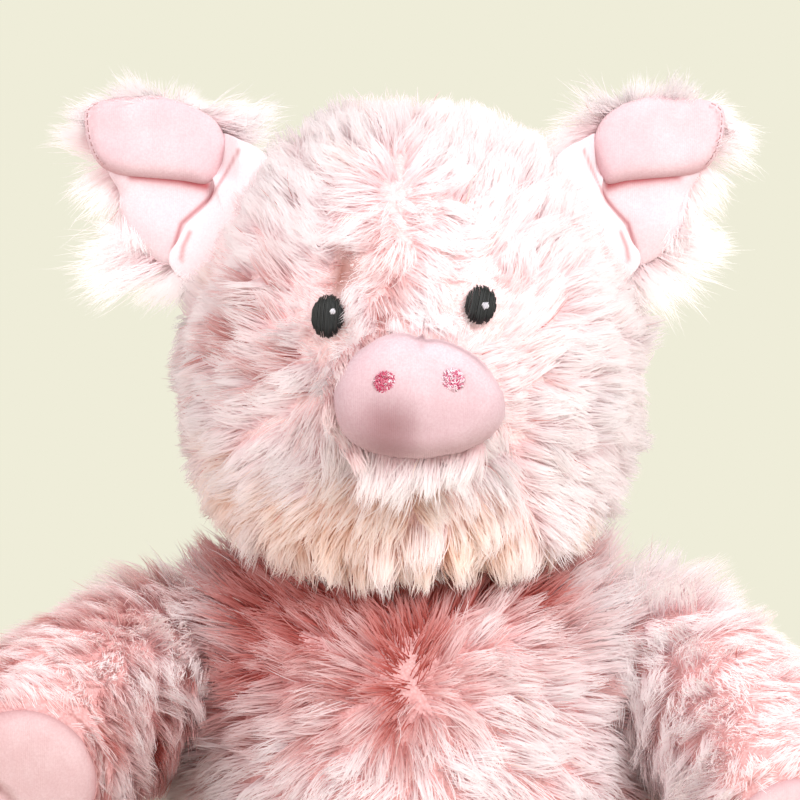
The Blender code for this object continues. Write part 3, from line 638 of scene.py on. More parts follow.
class PIG_OT_stage(bpy.types.Operator):
    """Sets out the floor, the light and the camera"""

    bl_idname = "pig.stage"
    bl_label = "Stage"

    def execute(self, context):
        scene, colours = context.scene, context.scene.pig_colours
        backdrop = linear(colours.backdrop)
        material, tree = new_material("painted_floor")
        at = add_node(tree, "ShaderNodeTexCoord")
        far = add_node(tree, "ShaderNodeVectorMath", {0: at.outputs["Object"]}, operation="LENGTH")
        fade = add_node(
            tree, "ShaderNodeMapRange", {0: far.outputs["Value"], 1: FADE_START, 2: FADE_END},
            clamp=True, interpolation_type="SMOOTHSTEP")
        path = add_node(tree, "ShaderNodeLightPath")
        seen = add_node(
            tree, "ShaderNodeMath", {0: fade.outputs[0], 1: path.outputs["Is Camera Ray"]}, operation="MULTIPLY")
        paint = add_node(tree, "ShaderNodeBsdfPrincipled", {
            "Base Color": linear(colours.floor), "Roughness": .8, "Specular IOR Level": .2})
        glow = add_node(tree, "ShaderNodeEmission", {"Color": backdrop, "Strength": 1})
        both = add_node(tree, "ShaderNodeMixShader", {0: seen.outputs[0], 1: paint.outputs[0], 2: glow.outputs[0]})
        finish_material(tree, both)
        sides = 64
        rings = [(0, 0, 0)] + [
            (r * math.cos(a), r * math.sin(a), 0)
            for r in FLOOR_RINGS for a in np.linspace(0, math.tau, sides, endpoint=False)]
        faces = [(0, 1 + i, 1 + (i + 1) % sides) for i in range(sides)]
        for k in range(len(FLOOR_RINGS) - 1):
            a, b = 1 + sides * k, 1 + sides * (k + 1)
            faces += [(a + i, b + i, b + (i + 1) % sides, a + (i + 1) % sides) for i in range(sides)]
        mesh = bpy.data.meshes.new("floor")
        mesh.from_pydata(rings, [], faces)
        mesh.materials.append(material)
        floor = bpy.data.objects.new("floor", mesh)
        scene.collection.objects.link(floor)

        world = bpy.data.worlds.new("studio")
        world.use_nodes = True
        tree = world.node_tree
        tree.nodes.clear()
        rays = add_node(tree, "ShaderNodeLightPath").outputs
        shown = add_node(
            tree, "ShaderNodeMath", {0: rays["Is Camera Ray"], 1: rays["Is Glossy Ray"]}, operation="MAXIMUM")
        shown = add_node(
            tree, "ShaderNodeMath", {0: shown.outputs[0], 1: rays["Is Transmission Ray"]}, operation="MAXIMUM")
        light = add_node(tree, "ShaderNodeBackground", {"Color": linear("#FFF5F8"), "Strength": .74})
        view = add_node(tree, "ShaderNodeBackground", {"Color": backdrop, "Strength": 1})
        both = add_node(tree, "ShaderNodeMixShader", {0: shown.outputs[0], 1: light.outputs[0], 2: view.outputs[0]})
        add_node(tree, "ShaderNodeOutputWorld", {"Surface": both.outputs[0]})
        scene.world = world

        for name, spot, size, power, tint in LIGHTS:
            lamp = bpy.data.lights.new(name, "AREA")
            lamp.shape, lamp.size, lamp.energy, lamp.color = "DISK", size, power, linear(tint)[:3]
            holder = bpy.data.objects.new(name, lamp)
            scene.collection.objects.link(holder)
            holder.location = spot
            holder.rotation_euler = (Vector((0, 0, .2)) - Vector(spot)).to_track_quat("-Z", "Y").to_euler()

        camera = bpy.data.cameras.new("camera")
        camera.sensor_width = 36
        camera.lens = camera.sensor_width * CAMERA_DISTANCE / SHOWN_WIDTH
        camera.clip_end = 30
        holder = bpy.data.objects.new("camera", camera)
        scene.collection.objects.link(holder)
        holder.location = (AIM[0], AIM[1] - CAMERA_DISTANCE, AIM[2])
        holder.rotation_euler = (math.pi / 2, 0, 0)
        scene.camera = holder
        scene.view_settings.view_transform = "Standard"
        return {"FINISHED"}


def head_shell():
    """The backing of the head, under its pile, and closer to the surface round the eyes and the snout."""
    head, _, pile = sizes()
    rings = stuffed_rings(HEAD_SHARES, head.chin, head.height, head.half_width, head.front, head.back, 84, 112)
    made = Shell(rings[1:-1], rings[0].mean(0), rings[-1].mean(0))
    near = np.zeros(len(made.points))
    for x, z, _, _ in (head.eye_right, head.eye_left):
        spot = face_place(x, z)[0]
        near = np.maximum(near, 1 - step(.006, .018, np.linalg.norm(made.points - spot, axis=1)))
    middle = np.array(head.snout_middle) + (0, .026, 0)
    near = np.maximum(near, 1 - step(.024, .036, np.linalg.norm((made.points - middle) * (1, .8, 1.3), axis=1)))
    made.inset(pile.stand * (1 - .72 * near))
    return made


def eye_distance(points):
    """Distance from each eye's edge, seen from the front, in metres."""
    head = sizes()[0]
    best = np.full(len(points), 1.0)
    for x, z, w, h in (head.eye_right, head.eye_left):
        far = np.hypot((points[:, 0] - x) / w, (points[:, 2] - z) / h)
        best = np.minimum(best, np.where(points[:, 1] < 0, (far - 1) * (w + h) / 2, 1.0))
    return best


def snout_distance(points):
    """Distance from the snout's edge, seen from the front, in metres."""
    head = sizes()[0]
    w, h = head.snout_half
    far = np.hypot((points[:, 0] - head.snout_middle[0]) / w, (points[:, 2] - head.snout_middle[2]) / h)
    return np.where(points[:, 1] < 0, (far - 1) * (w + h) / 2, 1.0)


# Places on the face, in metres: how far to the toy's left, and the height over the floor.
BROW_MIDDLE, BROW_SIZE = (-.0215, .2725), (.0042, .0090)
CROWN_MIDDLE, CROWN_SIZE = (-.006, .302), (.012, .012)
TEMPLE_MIDDLE, TEMPLE_SIZE = (.0600, .2860), (.0120, .0230)
SHADE_MIDDLE, SHADE_SIZE = (-.048, .256), (.014, .016)
BARE_MIDDLE, BARE_SIZE = (.0675, .2890), (.0085, .0200)
LEFT_WRINKLE = ((.0245, .2695), (.0330, .2665), (.0430, .2610))
PARTING_X = -.006
CHIN_TRIM = .1722
HEAD_SPOTS, BROW_SPOTS = 11200, 26


def brow_hollow(points):
    """The hollow over the inner corner of the pig's right eye, where the pile parts, from 0 to 1."""
    x, z = points[:, 0], points[:, 2]
    leaning = x - (z - .272) * .25
    return soft_spot(leaning, z, BROW_MIDDLE, BROW_SIZE, 1.5) * (points[:, 1] < 0)


def ear_patch(points):
    """How much of each place belongs to the ear's bare velour root on the side of the head, from 0 to 1."""
    (x, z), (wide, high) = BARE_MIDDLE, BARE_SIZE
    across = np.hypot((np.abs(points[:, 0]) - x) / wide, (points[:, 2] - z) / high)
    return np.where(points[:, 1] < .012, 1 - step(.80, 1.15, across), 0)


class PIG_OT_head(bpy.types.Operator):
    """Builds the head's backing and its long pile"""

    bl_idname = "pig.head"
    bl_label = "Head"

    def execute(self, context):
        head, _, pile = sizes()
        shell = head_shell()
        cover = new_mesh("head_cover", shell.points, shell.faces(), pale_backing(), "head",
                         ("head_panel_left", "head_panel_right", "head_stuffing"))
        # Painted shade in the backing of the brow hollow.
        mark(cover, "crease", brow_hollow(shell.points))
        rng = np.random.default_rng(pile.seed)
        middle = np.array(head.snout_middle) + (0, .030, 0)

        def want(points, normals):
            """Where pile grows: not on the eyes, the snout, the ears' roots or the underside by the neck."""
            bare = (eye_distance(points) > .0002) & (snout_distance(points) > -.0015)
            under = step(.180, .190, points[:, 2]) + (points[:, 1] < -.030)
            return bare * np.clip(under, 0, 1) * (1 - ear_patch(points))

        def dress(points, normals):
            """How the pile lies, how long it is and which tone it has."""
            x, y, z = points.T
            front = y < 0
            # The pile runs back from the snout, parts down the forehead and turns at the crown.
            flow = unit(points - middle)
            flow[:, 2] -= .12 + .45 * step(-.01, .05, y)
            across = x - PARTING_X + .0015 * noise_field(points, .03, 9)
            brow = (1 - step(.010, .026, np.abs(across))) * step(.252, .260, z) * (1 - step(.290, .306, z)) * front
            flow = bend(flow, brow, unit(np.stack(
                [np.clip(across / .006, -1, 1) * .75, 0 * x, np.full(len(x), -1.0)], -1)))
            crown = soft_spot(x, z, CROWN_MIDDLE, CROWN_SIZE) * front
            flow = unit(flow + crown[:, None] * np.stack([
                1.3 * np.clip(across / .004, -1, 1) + .5 * np.sin(points @ (700, 0, 300)), 0 * x,
                .5 * np.cos(points @ (400, 0, 700)) - .2], -1))
            beside = ridge(x, -.0235, .007) * (1 - step(.246, .256, z)) * step(.212, .222, z) * front
            flow = unit(flow * (1 - beside[:, None] * .8) + beside[:, None] * np.array((.25, -.2, -1.0)))
            rise = .60 + .20 * crown + .35 * beside

            # It is short round the eyes and the snout, and fibres that point at an eye end before it.
            eyes, snout = eye_distance(points), snout_distance(points)
            growth = np.minimum(.24 + .76 * step(.0008, .011, eyes), .50 + .50 * step(0, .012, snout) + .35 * beside)
            for ex, ez, _, h in (head.eye_right, head.eye_left, (-.0215, .2735, .003, .005)):
                to = face_place(ex, ez)[0] - points
                ahead = (to * flow).sum(1)
                aside = np.linalg.norm(to - flow * ahead[:, None], axis=1)
                clear = np.clip((ahead - h * 1.05) / pile.head_length + .6 * step(.0060, .0100, aside), .20, 1)
                growth = np.where((ahead > 0) & (ahead < .026) & (aside < .0100), np.minimum(growth, clear), growth)

            # The chin's pile hangs and is trimmed to one line, and the pile by the ears is short.
            chin = (1 - step(.192, .206, z)) * (y < -.01)
            flow = unit(flow * (1 - chin[:, None] * .7) + chin[:, None] * np.array((0, 0, -1.0))
                        + chin[:, None] * unit(normals * (1, 1, 0)) * .35)
            trimmed = (z - CHIN_TRIM + .0007 * noise_field(points, .012, 8)) / pile.head_length * 1.05
            growth = growth * (1 - chin) + chin * np.clip(trimmed, .38, 1.12)
            temple = soft_spot(np.abs(x), z, TEMPLE_MIDDLE, TEMPLE_SIZE, 1.5) * front
            growth *= 1 - .55 * temple
            rise -= .25 * temple

            # Pale on the whole, cream at the chin, and deeper along the seam, along a wrinkle and between the locks.
            tone = .58 + .04 * noise_field(points, .03, 3) + .05 * temple
            tone += (.36 + .10 * step(-.01, -.05, x)) * (1 - step(.186, .226, z + .18 * x)) * front
            wavy = np.abs(across + .0015 + .003 * noise_field(points, .010, 5))
            seam = (1 - step(.0008, .0038, wavy)) * step(.252, .262, z) * (1 - step(.280, .294, z))
            tone -= .38 * seam * front
            # Painted shade: the low right side, the brow hollow, and the gaps and a spot on the right cheek are
            # deeper.
            tone -= .05 * step(-.02, -.055, x) * (z < .275)
            hollow = brow_hollow(points)
            tone -= .50 * hollow
            growth *= (1 - .75 * hollow) * (1 - .25 * seam * front)
            gaps = step(.25, .75, noise_field(points * (1, 1, 1.4), .0095, 15)) * (z < .296) * (z > .205)
            shaded = step(.005, -.035, x) * step(.286, .256, z)
            tone -= gaps * (.04 + .25 * shaded) * front * (1 - crown) * (1 - temple)
            tone -= .14 * soft_spot(x, z, SHADE_MIDDLE, SHADE_SIZE) * front
            tone -= .26 * ridge(polyline_distance(points[:, [0, 2]], LEFT_WRINKLE), 0, .0015) * front
            low = (1 - step(.186, .222, z)) * (1 - .6 * step(-.005, -.045, x))
            return {"flow": flow, "growth": growth, "tone": tone, "rise": rise, "mottle": .055 + .055 * chin,
                    "lit_from": unit(normals + low[:, None] * (.1, -.45, .75))}

        at = np.linspace(0, 1, BROW_SPOTS)
        across = -.0172 + .0030 * at + .0009 * np.sin(at * 40)
        spots = [face_place(x, z) for x, z in zip(across, .2700 - .0130 * at)]
        points, normals = (np.array([spot[i] for spot in spots]) for i in (0, 1))
        grow_pile("brow_pile", (points - normals * .002, normals), "head", "head_pile", long_pile(), rng,
                  pile.head_length, pile.fibre * .8, tufts=10, flow=np.tile((-.30, -.2, -1.0), (BROW_SPOTS, 1)),
                  growth=.72 + .2 * np.sin(at * 25), tone=.50 + 0 * at, rise=1.1, lay=.30, wander=.30, mottle=.05,
                  per_lock=4)
        points, normals, _ = shell.scatter(HEAD_SPOTS, rng, want)
        front, right = points[:, 1] < 0, points[:, 0] < 0
        for part, inside in (("face_right", front & right), ("face_left", front & ~right), ("back", ~front)):
            grow_pile("head_pile_" + part, (points[inside], normals[inside]), "head", "head_pile", long_pile(), rng,
                      pile.head_length, pile.fibre, tufts=9, lay=.16, palest=.995, per_lock=14, lock_size=.0068,
                      **dress(points[inside], normals[inside]))
        return {"FINISHED"}


def body_shell():
    """The backing of the body, flat on the floor underneath."""
    _, body, pile = sizes()
    rings = stuffed_rings(BODY_SHARES, 0, body.height, body.half_width, body.front, body.back, 84, 112)
    made = Shell(rings[1:-1], rings[0].mean(0), rings[-1].mean(0))
    made.inset(pile.stand * step(-.9, -.2, made.normals[:, 2]))
    made.points[:, 2] = np.maximum(made.points[:, 2], .0012)
    made.measure()
    return made


BODY_SPOTS = 12600


class PIG_OT_body(bpy.types.Operator):
    """Builds the body's backing and its long pile"""

    bl_idname = "pig.body"
    bl_label = "Body"

    def execute(self, context):
        _, body, pile = sizes()
        shell = body_shell()
        cover = new_mesh("body_cover", shell.points, shell.faces(), rose_backing(), "torso",
                         ("body_panel_left", "body_panel_right", "body_stuffing", "pellet_pouch"))
        rng = np.random.default_rng(pile.seed + 1)
        whorl = np.array(body.whorl)

        def want(points, normals):
            """Where pile grows: not on the seat, and not inside the neck."""
            on_floor = (normals[:, 2] < -.8) & (points[:, 2] < .006)
            top = np.where(points[:, 1] > .020, .1975, .184)
            return np.where(on_floor | (points[:, 2] > top), 0, 1)

        def dress(points):
            """How the pile lies, how long it is and which tone it has."""
            x, y, z = points.T
            front = y < 0
            # The pile runs out from the whorl of the chest seam, and stands up round it.
            from_whorl = np.linalg.norm(points - whorl, axis=1)
            near = 1 - step(.004, .018, from_whorl)
            flow = unit(points - whorl)
            flow = unit(flow + near[:, None] * np.stack([
                .5 * np.sin(points @ (900, 0, 300)), 0 * near, .5 * np.cos(points @ (400, 0, 900)) - .3], -1))
            flow[:, 2] -= .25 + .5 * step(0, .05, y) * (1 - step(.165, .180, z))

            # It is longer on the shoulders and the nape, where it meets the arms and the head, and shorter in the
            # armpits and on the belly.
            shoulder = step(.148, .164, z) * step(.034, .054, np.abs(x)) * (.25 + .75 * step(-.050, -.028, y))
            nape = step(.168, .184, z) * step(.015, .035, y)
            pit = step(.050, .066, np.abs(x)) * step(.070, .090, z) * (1 - step(.140, .160, z))
            pit *= step(-.070, -.050, y) * step(.010, -.010, y)
            belly = 1 - step(.105, .148, z)
            rise = .68 + .25 * near + .60 * shoulder + .5 * nape
            lay = .18 + .75 * shoulder + .5 * nape
            growth = (.75 + .25 * step(.004, .016, from_whorl)) * (1 + .45 * shoulder + .25 * nape)
            growth *= 1 - .10 * pit
            growth *= 1 - .18 * (1 - step(.100, .140, z)) * front

            # Rosy, and deeper between the locks, round the whorl and along the seam.
            middle = 1 - step(.030, .048, np.abs(x))
            tone = .34 + .08 * noise_field(points, .03, 13)
            tone -= .12 * step(.2, .8, noise_field(points, .012, 17)) + .14 * near
            tone -= .30 * ridge(x, -.004, .0035) * step(.125, .135, z) * front
            # Painted light and shade: paler on the left, which faces the light, and deeper on the right.
            tone += (.31 * step(-.045, .035, x) - .15) * front
            # Painted shade under the chin.
            tone -= (.08 + .20 * middle) * step(.156, .169, z) * front * (1 - step(.050, .066, np.abs(x)))
            tone -= .16 * (1 - step(.002, .009, np.abs(x - .0005))) * front * step(.05, .09, z)
            # Painted shade in the armpits, the left one most, and under the head.
            tone -= (.10 + .34 * (x > 0)) * pit
            tone -= .05 * step(.150, .165, z) + .13 * step(.140, .156, z) * step(.056, .042, np.abs(x)) * front
            # Paler on the belly, the more so low on the right, which lifts the painted shade of that side there.
            tone += (.32 + .16 * step(-.020, -.050, x)) * belly * front
            return {"flow": flow, "growth": growth, "tone": tone, "rise": rise, "lay": lay}

        points, normals, _ = shell.scatter(BODY_SPOTS, rng, want)
        front, right = points[:, 1] < 0, points[:, 0] < 0
        for part, inside in (("front_right", front & right), ("front_left", front & ~right),
                             ("back_right", ~front & right), ("back_left", ~front & ~right)):
            grow_pile("body_pile_" + part, (points[inside], normals[inside]), "torso", "body_pile", long_pile(), rng,
                      pile.body_length, pile.fibre, tufts=8, per_lock=8, lock_size=.0054, **dress(points[inside]))
        return {"FINISHED"}


def tube_mesh(paths, radii, sides=5):
    """Closed round threads along paths of points, seen as [thread, point, xyz], with a radius at each point."""
    paths, radii = np.asarray(paths, float), np.asarray(radii, float)
    n, k, _ = paths.shape
    along = unit(np.gradient(paths, axis=1))
    first = unit(np.cross(along, (.31, .12, .94)))
    second = np.cross(along, first)
    a = np.linspace(0, math.tau, sides, endpoint=False)[None, None, :, None]
    turning = np.cos(a) * first[:, :, None] + np.sin(a) * second[:, :, None]
    rings = paths[:, :, None] + radii.reshape(n, k, 1, 1) * turning
    points = np.concatenate([rings.reshape(n, -1, 3), paths[:, :1], paths[:, -1:]], 1)
    side = np.arange(sides)
    ahead = (side + 1) % sides
    rows = np.arange(k - 1)[:, None] * sides
    quads = np.stack([rows + side, rows + ahead, rows + sides + ahead, rows + sides + side], -1).reshape(-1, 4)
    top = (k - 1) * sides
    caps = np.vstack([
        np.stack([np.full(sides, k * sides), ahead, side], -1),
        np.stack([np.full(sides, k * sides + 1), top + side, top + ahead], -1)])
    each = k * sides + 2
    faces = []
    for number in range(n):
        faces += [tuple(f) for f in (quads + number * each).tolist()]
        faces += [tuple(f) for f in (caps + number * each).tolist()]
    return points.reshape(-1, 3), faces, each


def mark(piece, name, values):
    """Keeps a number for each point of a piece, which its material reads."""
    layer = piece.data.attributes.new(name, "FLOAT", "POINT")
    layer.data.foreach_set("value", np.asarray(values, np.float32))


def closed_outline(points, number):
    """A smooth closed curve through points, as evenly spaced points."""
    points = np.asarray(points, float)
    rows = np.vstack([points[-1], points, points[0], points[1]])
    fine = spline(rows, np.linspace(1, len(points) + 1, number * 6, endpoint=False))
    gaps = np.linalg.norm(np.diff(np.vstack([fine, fine[:1]]), axis=0), axis=1)
    way = np.concatenate([[0], np.cumsum(gaps)])
    at = np.linspace(0, way[-1], number, endpoint=False)
    closed = np.vstack([fine, fine[:1]])
    return np.stack([np.interp(at, way, closed[:, i]) for i in range(closed.shape[1])], -1)


def pillow(outline, middle, front, back, rings=18):
    """A stuffed flat form: front and back give the depth at each place from its share of the way to the rim."""
    outline = np.asarray(outline, float)
    number = len(outline)
    shares = np.sin(np.linspace(0, math.pi / 2, rings + 1))[1:]
    flat = middle + shares[:, None, None] * (outline - middle)
    s = np.broadcast_to(shares[:, None], flat.shape[:2])
    fore, aft = front(flat, s), back(flat, s)
    zero = np.zeros((1, 1))
    start = np.asarray(middle, float).reshape(1, 1, 2)
    points = [(middle[0], front(start, zero)[0, 0], middle[1])]
    for level in range(rings):
        points += np.stack([flat[level, :, 0], fore[level], flat[level, :, 1]], -1).tolist()
    for level in range(rings - 2, -1, -1):
        points += np.stack([flat[level, :, 0], aft[level], flat[level, :, 1]], -1).tolist()
    points.append((middle[0], back(start, zero)[0, 0], middle[1]))
    levels = 2 * rings - 1
    faces = [(0, 1 + (i + 1) % number, 1 + i) for i in range(number)]
    for level in range(levels - 1):
        a, b = 1 + level * number, 1 + (level + 1) * number
        faces += [(a + i, a + (i + 1) % number, b + (i + 1) % number, b + i) for i in range(number)]
    last, top = len(points) - 1, 1 + (levels - 1) * number
    faces += [(last, top + i, top + (i + 1) % number) for i in range(number)]
    return np.array(points), faces


def face_frame(forward):
    """The directions of a flat piece that faces forward: sideways, up and forward."""
    forward = unit(np.asarray(forward, float))
    across = -unit(np.cross(forward, (0, 0, 1)))
    return across, -np.cross(forward, across), forward


def velour_of(kind):
    """The velour of the ears, the snout or the pads, made once."""
    name, *tones = {
        "ear": ("velour_ear", "#E8D2D6", "#DFC3C8", "#CEA4AB", "#A8484C"),
        "root": ("velour_ear_root_painted_lit", "#F8EDF0", "#F4E6E9", "#E9D0D5", "#B8686A"),
        # Painted light: the root's velour is a paler copy, against the shade of the pile round it.
        "inner": ("velour_ear_inner", "#F0DFE3", "#EAD3D8", "#DBB8BE", "#A8484C"),
        "snout": ("velour_snout", "#E8D3D8", "#DEC4CA", "#C69BA3", "#8B5F62"),
        "pad": ("velour_pad", "#E3CACC", "#D9B9BB", "#C49A9B", "#A05C5A"),
        # Painted light: a paler copy of the pad's velour, for the left hand in the light.
        "painted_lit_pad": ("velour_pad_painted_lit", "#E9D3D6", "#E0C6CA", "#D2ADB1", "#A8686A"),
        "tail": ("velour_tail", "#F0D0D2", "#E7BEC1", "#CF9A99", "#B26A68"),
    }[kind]
    return material_named(name, lambda: velour(name, *tones))


# Outline of the snout, seen from the front, in shares of its half width and half height.
SNOUT_OUTLINE = (
    (1.0, -.28), (.985, .01), (.87, .31), (.71, .58), (.48, .78), (.24, .90), (.03, .90),
    (-.18, 1.0), (-.46, .93), (-.70, .73), (-.90, .43), (-1.0, .08), (-.99, -.32), (-.86, -.66),
    (-.62, -.87), (-.30, -.97), (.02, -1.0), (.28, -.95), (.52, -.88), (.78, -.70), (.93, -.50))
# The snout's side from the face to the rim of its front: share of its length, then share of its outline.
SNOUT_SIDE = ((1, .93), (.8, 1.0), (.62, 1.035), (.45, 1.05), (.33, 1.045), (.24, 1.03))
MUZZLE_SPOTS = 330


class PIG_OT_snout(bpy.types.Operator):
    """Builds the velour snout cap with its seam and the tuck at its top"""

    bl_idname = "pig.snout"
    bl_label = "Snout"

    def execute(self, context):
        head, _, pile = sizes()
        middle, halves = np.array(head.snout_middle), np.array(head.snout_half)
        sides = 144
        oval = closed_outline(SNOUT_OUTLINE, sides) * halves
        deep = head.snout_length
        profile = [(deep * back, size) for back, size in SNOUT_SIDE]
        profile += [
            (deep * .20 * (1 - math.sin(t)) + .0004, 1.02 - .42 * (1 - math.cos(t)))
            for t in np.linspace(.15, math.pi / 2, 10)]
        profile += [(.0003 - .0009 * (1 - s * s), .60 * s) for s in (.92, .8, .66, .5, .34, .18)]
        rings = middle + np.array([
            np.stack([oval[:, 0] * size, np.full(sides, back), oval[:, 1] * size], -1) for back, size in profile])
        made = Shell(rings[:, ::-1], middle + (0, deep, 0), middle - (0, .0006, 0))
        x, depth, z = (made.points - middle).T
        tuck = ridge(x, .0006, .0009) * step(.0125, .0172, z)
        pucker = .00012 * np.sin(np.arctan2(z, x) * 46) * step(.006, .016, depth)
        dimple = .0010 * soft_spot(x, z, (-.004, -.004), (.010, .009))
        made.points = made.points - made.normals * (tuck * .0016 + pucker + dimple)[:, None]
        made.measure()
        cover = new_mesh("snout_cover_velour", made.points, made.faces(), velour_of("snout"), "head",
                         ("snout_cover", "snout_stuffing"))
        # Painted shade: the velour is darker on its sides back to the seam, in a band high on the left and in the
        # tuck.
        brow = step(.0035, .0065, depth) * (1 - step(.0080, .0110, depth))
        edge = step(.012, .022, depth) + .7 * brow * step(.004, .012, z) * step(-.012, .0, x)
        # Painted shade in a patch low on the right, and darker towards the bottom and the right.
        low_patch_shade = soft_spot(x, z, (-.0085, -.0105), (.0100, .0105), 1.2)
        shade = .56 * low_patch_shade * (1 - .6 * step(-.0025, .0030, x + .0006 * np.sin(z * 900)))
        shade += .20 * step(.013, -.008, z) + .12 * step(0, -.02, x)
        mark(cover, "crease", np.clip(.60 * edge + tuck * .4 + shade, 0, 1))

        rng = np.random.default_rng(pile.seed + 30)
        number = MUZZLE_SPOTS
        angle = rng.uniform(math.radians(128), math.radians(322), number)
        rim = closed_outline(SNOUT_OUTLINE, 720) * halves * 1.05
        turn = np.arctan2(rim[:, 1], rim[:, 0]) % math.tau
        spot = rim[np.array([np.argmin(np.abs(turn - a)) for a in angle])] * rng.uniform(.94, 1.06, (number, 1))
        below = step(math.radians(200), math.radians(245), angle)
        forth = .0125 + rng.uniform(-.001, .003, number) - .0010 * below
        points = middle + np.stack([spot[:, 0], forth, spot[:, 1]], -1)
        out = unit(np.stack([spot[:, 0], np.zeros(number), spot[:, 1]], -1))
        normals = unit(out * (.10 + .35 * below)[:, None] + (0, -1, 0))
        flow = np.stack([.45 - .50 * below + .3 * np.sin(angle * 9), -.25 * below, -np.ones(number)], -1)
        growth = (.50 + .38 * below) * rng.uniform(.75, 1.1, number) + .20 * np.sin(angle * 14)
        # Painted light and shade: paler below the snout, against its shadow, and deeper round its sides.
        tone = .34 + .32 * below + .06 * noise_field(points, .010, 33)
        grow_pile("muzzle_pile", (points, normals), "head", "head_pile", long_pile(), rng, pile.head_length,
                  pile.fibre, tufts=10, flow=flow, growth=growth, tone=tone, rise=.80 - .40 * below, lay=.16,
                  mottle=.05, lit_from=unit(normals + (0, -.4, .2)))
        return {"FINISHED"}


def stitched_oval(name, middle, forward, halves, thread, swell, material, node, rng, tilt, ragged=.0003):
    """Satin stitch on the head: threads side by side over a low dome, their ends let into the fabric."""
    half_width, half_height = halves
    across, up, forward = face_frame(forward)
    across, up = across * math.cos(tilt) + up * math.sin(tilt), up * math.cos(tilt) - across * math.sin(tilt)
    number = int(2 * half_width / (thread * 1.08))
    paths, tones = [], []
    t = np.linspace(-1, 1, 11)
    for layer in range(2):
        for i in range(number):
            u = (i + .5 + .25 * layer) / number * 2 - 1 + rng.normal(0, .012)
            u = max(-.98, min(.98, u))
            tall = half_height * math.sqrt(1 - u * u) + rng.normal(0, ragged)
            lift = swell * np.sqrt(np.maximum(1 - u * u - (t * .96) ** 2 * (1 - u * u), 0)) + (.35 - layer) * thread
            lift = np.where(np.abs(t) > .95, -thread * 1.4, lift)
            paths.append(middle + across * u * half_width + up * (t * tall)[:, None] + forward * lift[:, None])
            tones.append(rng.uniform(0, 1))
    points, faces, each = tube_mesh(paths, np.full((len(paths), len(t)), thread / 2 * 1.15), 6)
    made = new_mesh(name, points, faces, material, "head", (node,))
    mark(made, "tone", np.repeat(tones, each))


def knotted_disc(name, middle, radius, material, node, rng, pale):
    """Small stitches crossed over each other in a round spot that faces forwards on the head. Pale is the share of
    light stitches."""
    number = 150
    # The golden angle spreads the stitches evenly.
    size, angle = radius * .93 * np.sqrt((np.arange(number) + .5) / number), np.arange(number) * 2.39996
    lean = angle + math.pi / 2 + rng.normal(0, .9, number)
    reach = rng.uniform(.00035, .00075, number) * np.where(size > radius * .8, .75, 1)
    t = np.linspace(-1, 1, 5)
    x = (size * np.cos(angle))[:, None] + (reach * np.cos(lean))[:, None] * t
    z = (size * np.sin(angle))[:, None] + (reach * np.sin(lean))[:, None] * t
    lift = .0003 + .0006 * (1 - (size[:, None] / radius) ** 2)
    lift = lift + .00035 * (1 - t * t) * rng.uniform(.4, 1.2, number)[:, None] - .0004 * (np.abs(t) == 1)
    paths = np.stack([middle[0] + x, middle[1] - lift, middle[2] + z], -1)
    points, faces, each = tube_mesh(paths, np.full((number, len(t)), .00019), 6)
    made = new_mesh(name, points, faces, material, "head", (node,))
    light = rng.random(number) < pale + .35 * (size / radius) ** 6
    mark(made, "tone", np.repeat(np.where(light, rng.uniform(.6, 1, number), rng.uniform(0, .3, number)), each))


class PIG_OT_embroidery(bpy.types.Operator):
    """Stitches the eyes, their highlights and the nostrils"""

    bl_idname = "pig.embroidery"
    bl_label = "Eyes and nostrils"

    def execute(self, context):
        head, _, pile = sizes()
        colours = context.scene.pig_colours
        rng = np.random.default_rng(pile.seed + 20)
        black = rayon_thread("rayon_thread_black", colours.eye, "#24282A", .5)
        white = rayon_thread("rayon_thread_white", colours.highlight, "#C9C9D2", .35)
        for side, (x, z, w, h), tilt, spark, size in (
            ("right", head.eye_right, .05, (.0019, -.0011), .0008),
            ("left", head.eye_left, .22, (.0011, .0007), .0011),
        ):
            spot, out = face_place(x, z)
            out = unit(out * (1, 1.6, 1))
            spot = spot + out * .0016
            stitched_oval("eye_" + side + "_stitches", spot - out * .0004, out, (w, h), .00034, .0018, black,
                          "eye_" + side, rng, tilt)
            across, up, forward = face_frame(out)
            middle = spot + across * spark[0] + up * spark[1] + forward * .0014
            stitched_oval("eye_highlight_" + side + "_stitches", middle, out, (size, size), .00026, .0004, white,
                          "eye_highlight_" + side, rng, .5, ragged=.0002)
        front = head.snout_middle[1] + .0002
        for side, x, z, pale, deep in (
            ("right", -.0083, .2387, .08, colours.nostril_right), ("left", .0126, .2395, .62, colours.nostril_left)
        ):
            pink = rayon_thread("rayon_thread_pink_" + side, deep, colours.nostril_light, .4)
            knotted_disc("nostril_" + side + "_stitches", (x, front, z), head.nostril, pink,
                         "nostril_" + side, rng, pale)
        return {"FINISHED"}


